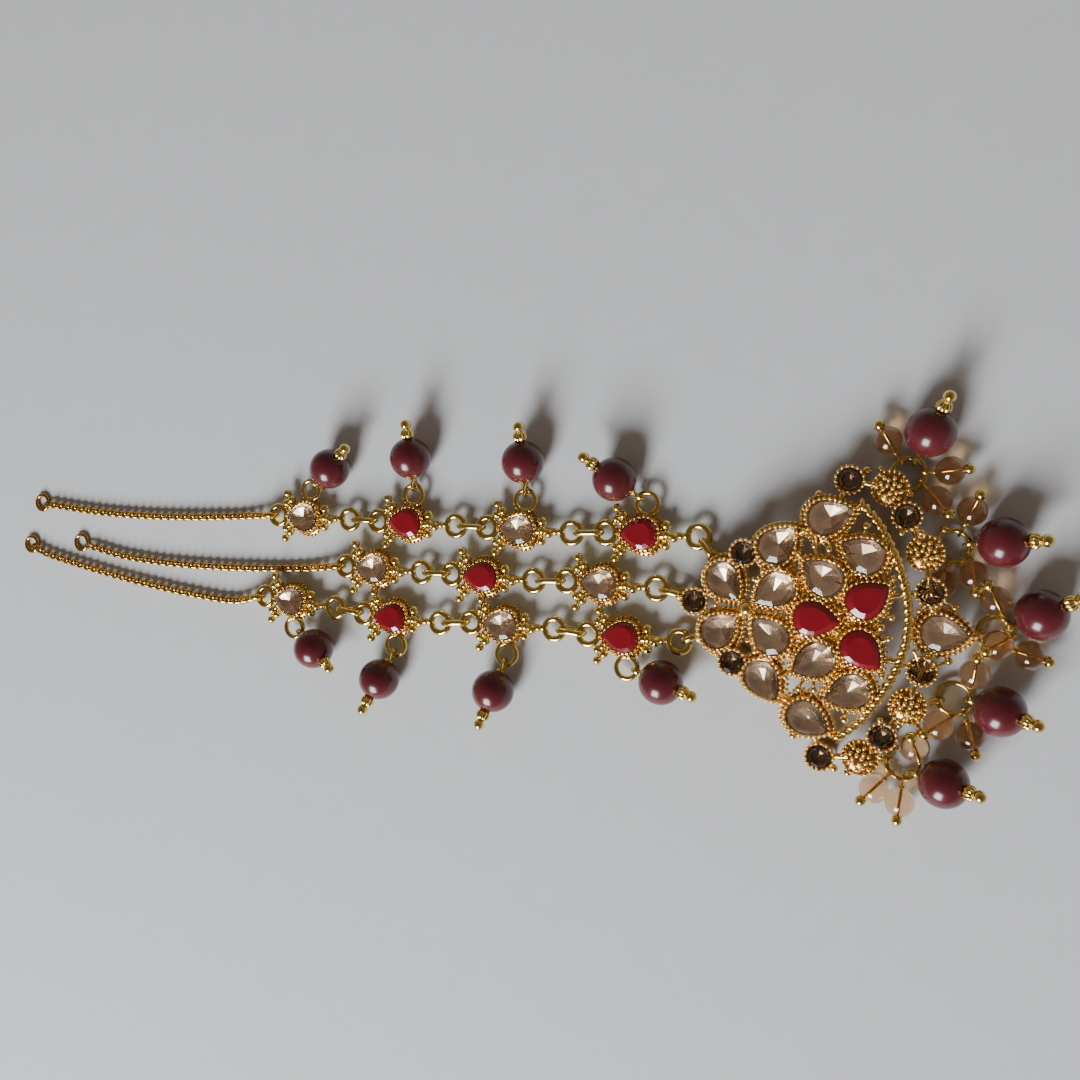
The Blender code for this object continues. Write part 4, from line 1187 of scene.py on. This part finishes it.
def drop_metal(place):
    """Eye, pin, collar and ball end of a large drop."""
    under = -BEAD_REACH - BEAD_RADIUS
    top = -BEAD_REACH + BEAD_RADIUS
    pin = stack(place, round_outline, WIRE_SIDES, [(DROP_PIN, DROP_PIN, -EYE_RADIUS)] + [
        (radius, radius, top + height) for radius, height in CAP])
    collar = turned(place, ridged, COLLAR_RIDGES * RIDGE_SIDES, COLLAR, under)
    end = under + COLLAR[-1][1] * MM - BALL_RADIUS * BALL_SEAT
    return [small_eye(place @ UPRIGHT), pin, collar, ball_at(place, end, BALL_RADIUS)]


polished_maroon = tinted("polished_maroon", (0.075, 0.010, 0.014), (0.135, 0.016, 0.024), SWIRL_SCALE,
                         {"Roughness": 0.24, "Coat Weight": 0.25, "Coat Roughness": 0.08},
                         distortion=SWIRL_DISTORTION)
places, drop_names = [], []
for strand in STRANDS:
    for index, heading in enumerate(SIDE_DROPS.get(strand.name, [])):
        centre = plaque_place(strand, index) @ Vector((SIDE_LOOP_X, SIDE_LOOP_Y * strand.side, LOOP_HEIGHT))
        places.append(hang(ring_point(centre, heading, SIDE_LOOP_RADIUS), math.radians(heading), BEAD_REACH,
                           BEAD_RADIUS + JEWEL.translation.z))
        drop_names.append(f"drop_{strand.name}_{index + 1}")
for bunch in BUNCHES:
    drop = bunch.drops[0]
    hook = ring_point(bunch_place(bunch), drop.hook, FRINGE_RADIUS)
    places.append(PENDANT @ hang(hook, math.radians(drop.heading), BEAD_REACH, BEAD_RADIUS + drop.lift * MM))
    drop_names.append(bunch.name + "_maroon")
beads = [ball_at(place, -BEAD_REACH, BEAD_RADIUS, BEAD_SIDES) for place in places]
metal = [shape for place in places for shape in drop_metal(place)]
maroon_beads = piece("maroon_beads", beads, [polished_maroon])
drop_pins = piece("drop_pins_and_collars", metal, [ring_plate])
for item, finish in ((maroon_beads, "maroon_bead"), (drop_pins, "gold")):
    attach(item, "root")
    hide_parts(*drop_names)


# Fringe rings with clear beads
# Five plain rings hooked under the fan's edge. Each carries three small champagne glass beads
# on gold head pins beside its maroon drop.
SMALL_BEAD_RADIUS = 2.4 * MM
SMALL_BEAD_REACH = 3.9 * MM
SMALL_BEAD_SIDES = 48
SMALL_BALL_RADIUS = 0.95 * MM
SMALL_BALL_SEAT = 0.6
SMALL_EYE_RADIUS = 0.72 * MM
SMALL_EYE_WIRE = 0.24 * MM
KNOB_RADIUS = 0.55 * MM
KNOB_SIDES = 12
PIN_RADIUS = 0.2 * MM
PIN_TOP = -0.5 * MM

bead_glass = cut_glass("bead_glass", (0.98, 0.64, 0.36), 1.48, 1.0)
rings, pins, beads = [], [], []
for bunch in BUNCHES:
    centre = bunch_place(bunch)
    rings.append(wire_ring(PENDANT @ Matrix.Translation(centre), FRINGE_RADIUS, FRINGE_WIRE, 0.0,
                           FRINGE_SIDES))
    for drop in bunch.drops[1:]:
        hook = ring_point(centre, drop.hook, FRINGE_RADIUS)
        place = PENDANT @ hang(hook, math.radians(drop.heading), SMALL_BEAD_REACH,
                               SMALL_BEAD_RADIUS + drop.lift * MM)
        beads.append(ball_at(place, -SMALL_BEAD_REACH, SMALL_BEAD_RADIUS, SMALL_BEAD_SIDES))
        end = -SMALL_BEAD_REACH - SMALL_BEAD_RADIUS - SMALL_BALL_RADIUS * SMALL_BALL_SEAT
        start, finish = place @ Vector((0.0, 0.0, PIN_TOP)), place @ Vector((0.0, 0.0, end))
        pins.append(wire_between(start, finish, PIN_RADIUS))
        pins.append(ball_at(place, end, SMALL_BALL_RADIUS))
        pins.append(small_eye(place @ UPRIGHT, SMALL_EYE_RADIUS, SMALL_EYE_WIRE))
        pins.append(ball_at(place, -SMALL_BEAD_REACH + SMALL_BEAD_RADIUS, KNOB_RADIUS, KNOB_SIDES))
bunch_names = [bunch.name for bunch in BUNCHES]
fringe_rings = piece("fringe_rings", rings, [ring_plate])
fringe_pins = piece("fringe_pins", pins, [ring_plate])
clear_beads = piece("clear_beads", beads, [bead_glass])
for item, finish in ((fringe_rings, "gold"), (fringe_pins, "gold"), (clear_beads, "clear_stone")):
    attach(item, "root")
    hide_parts(*bunch_names)
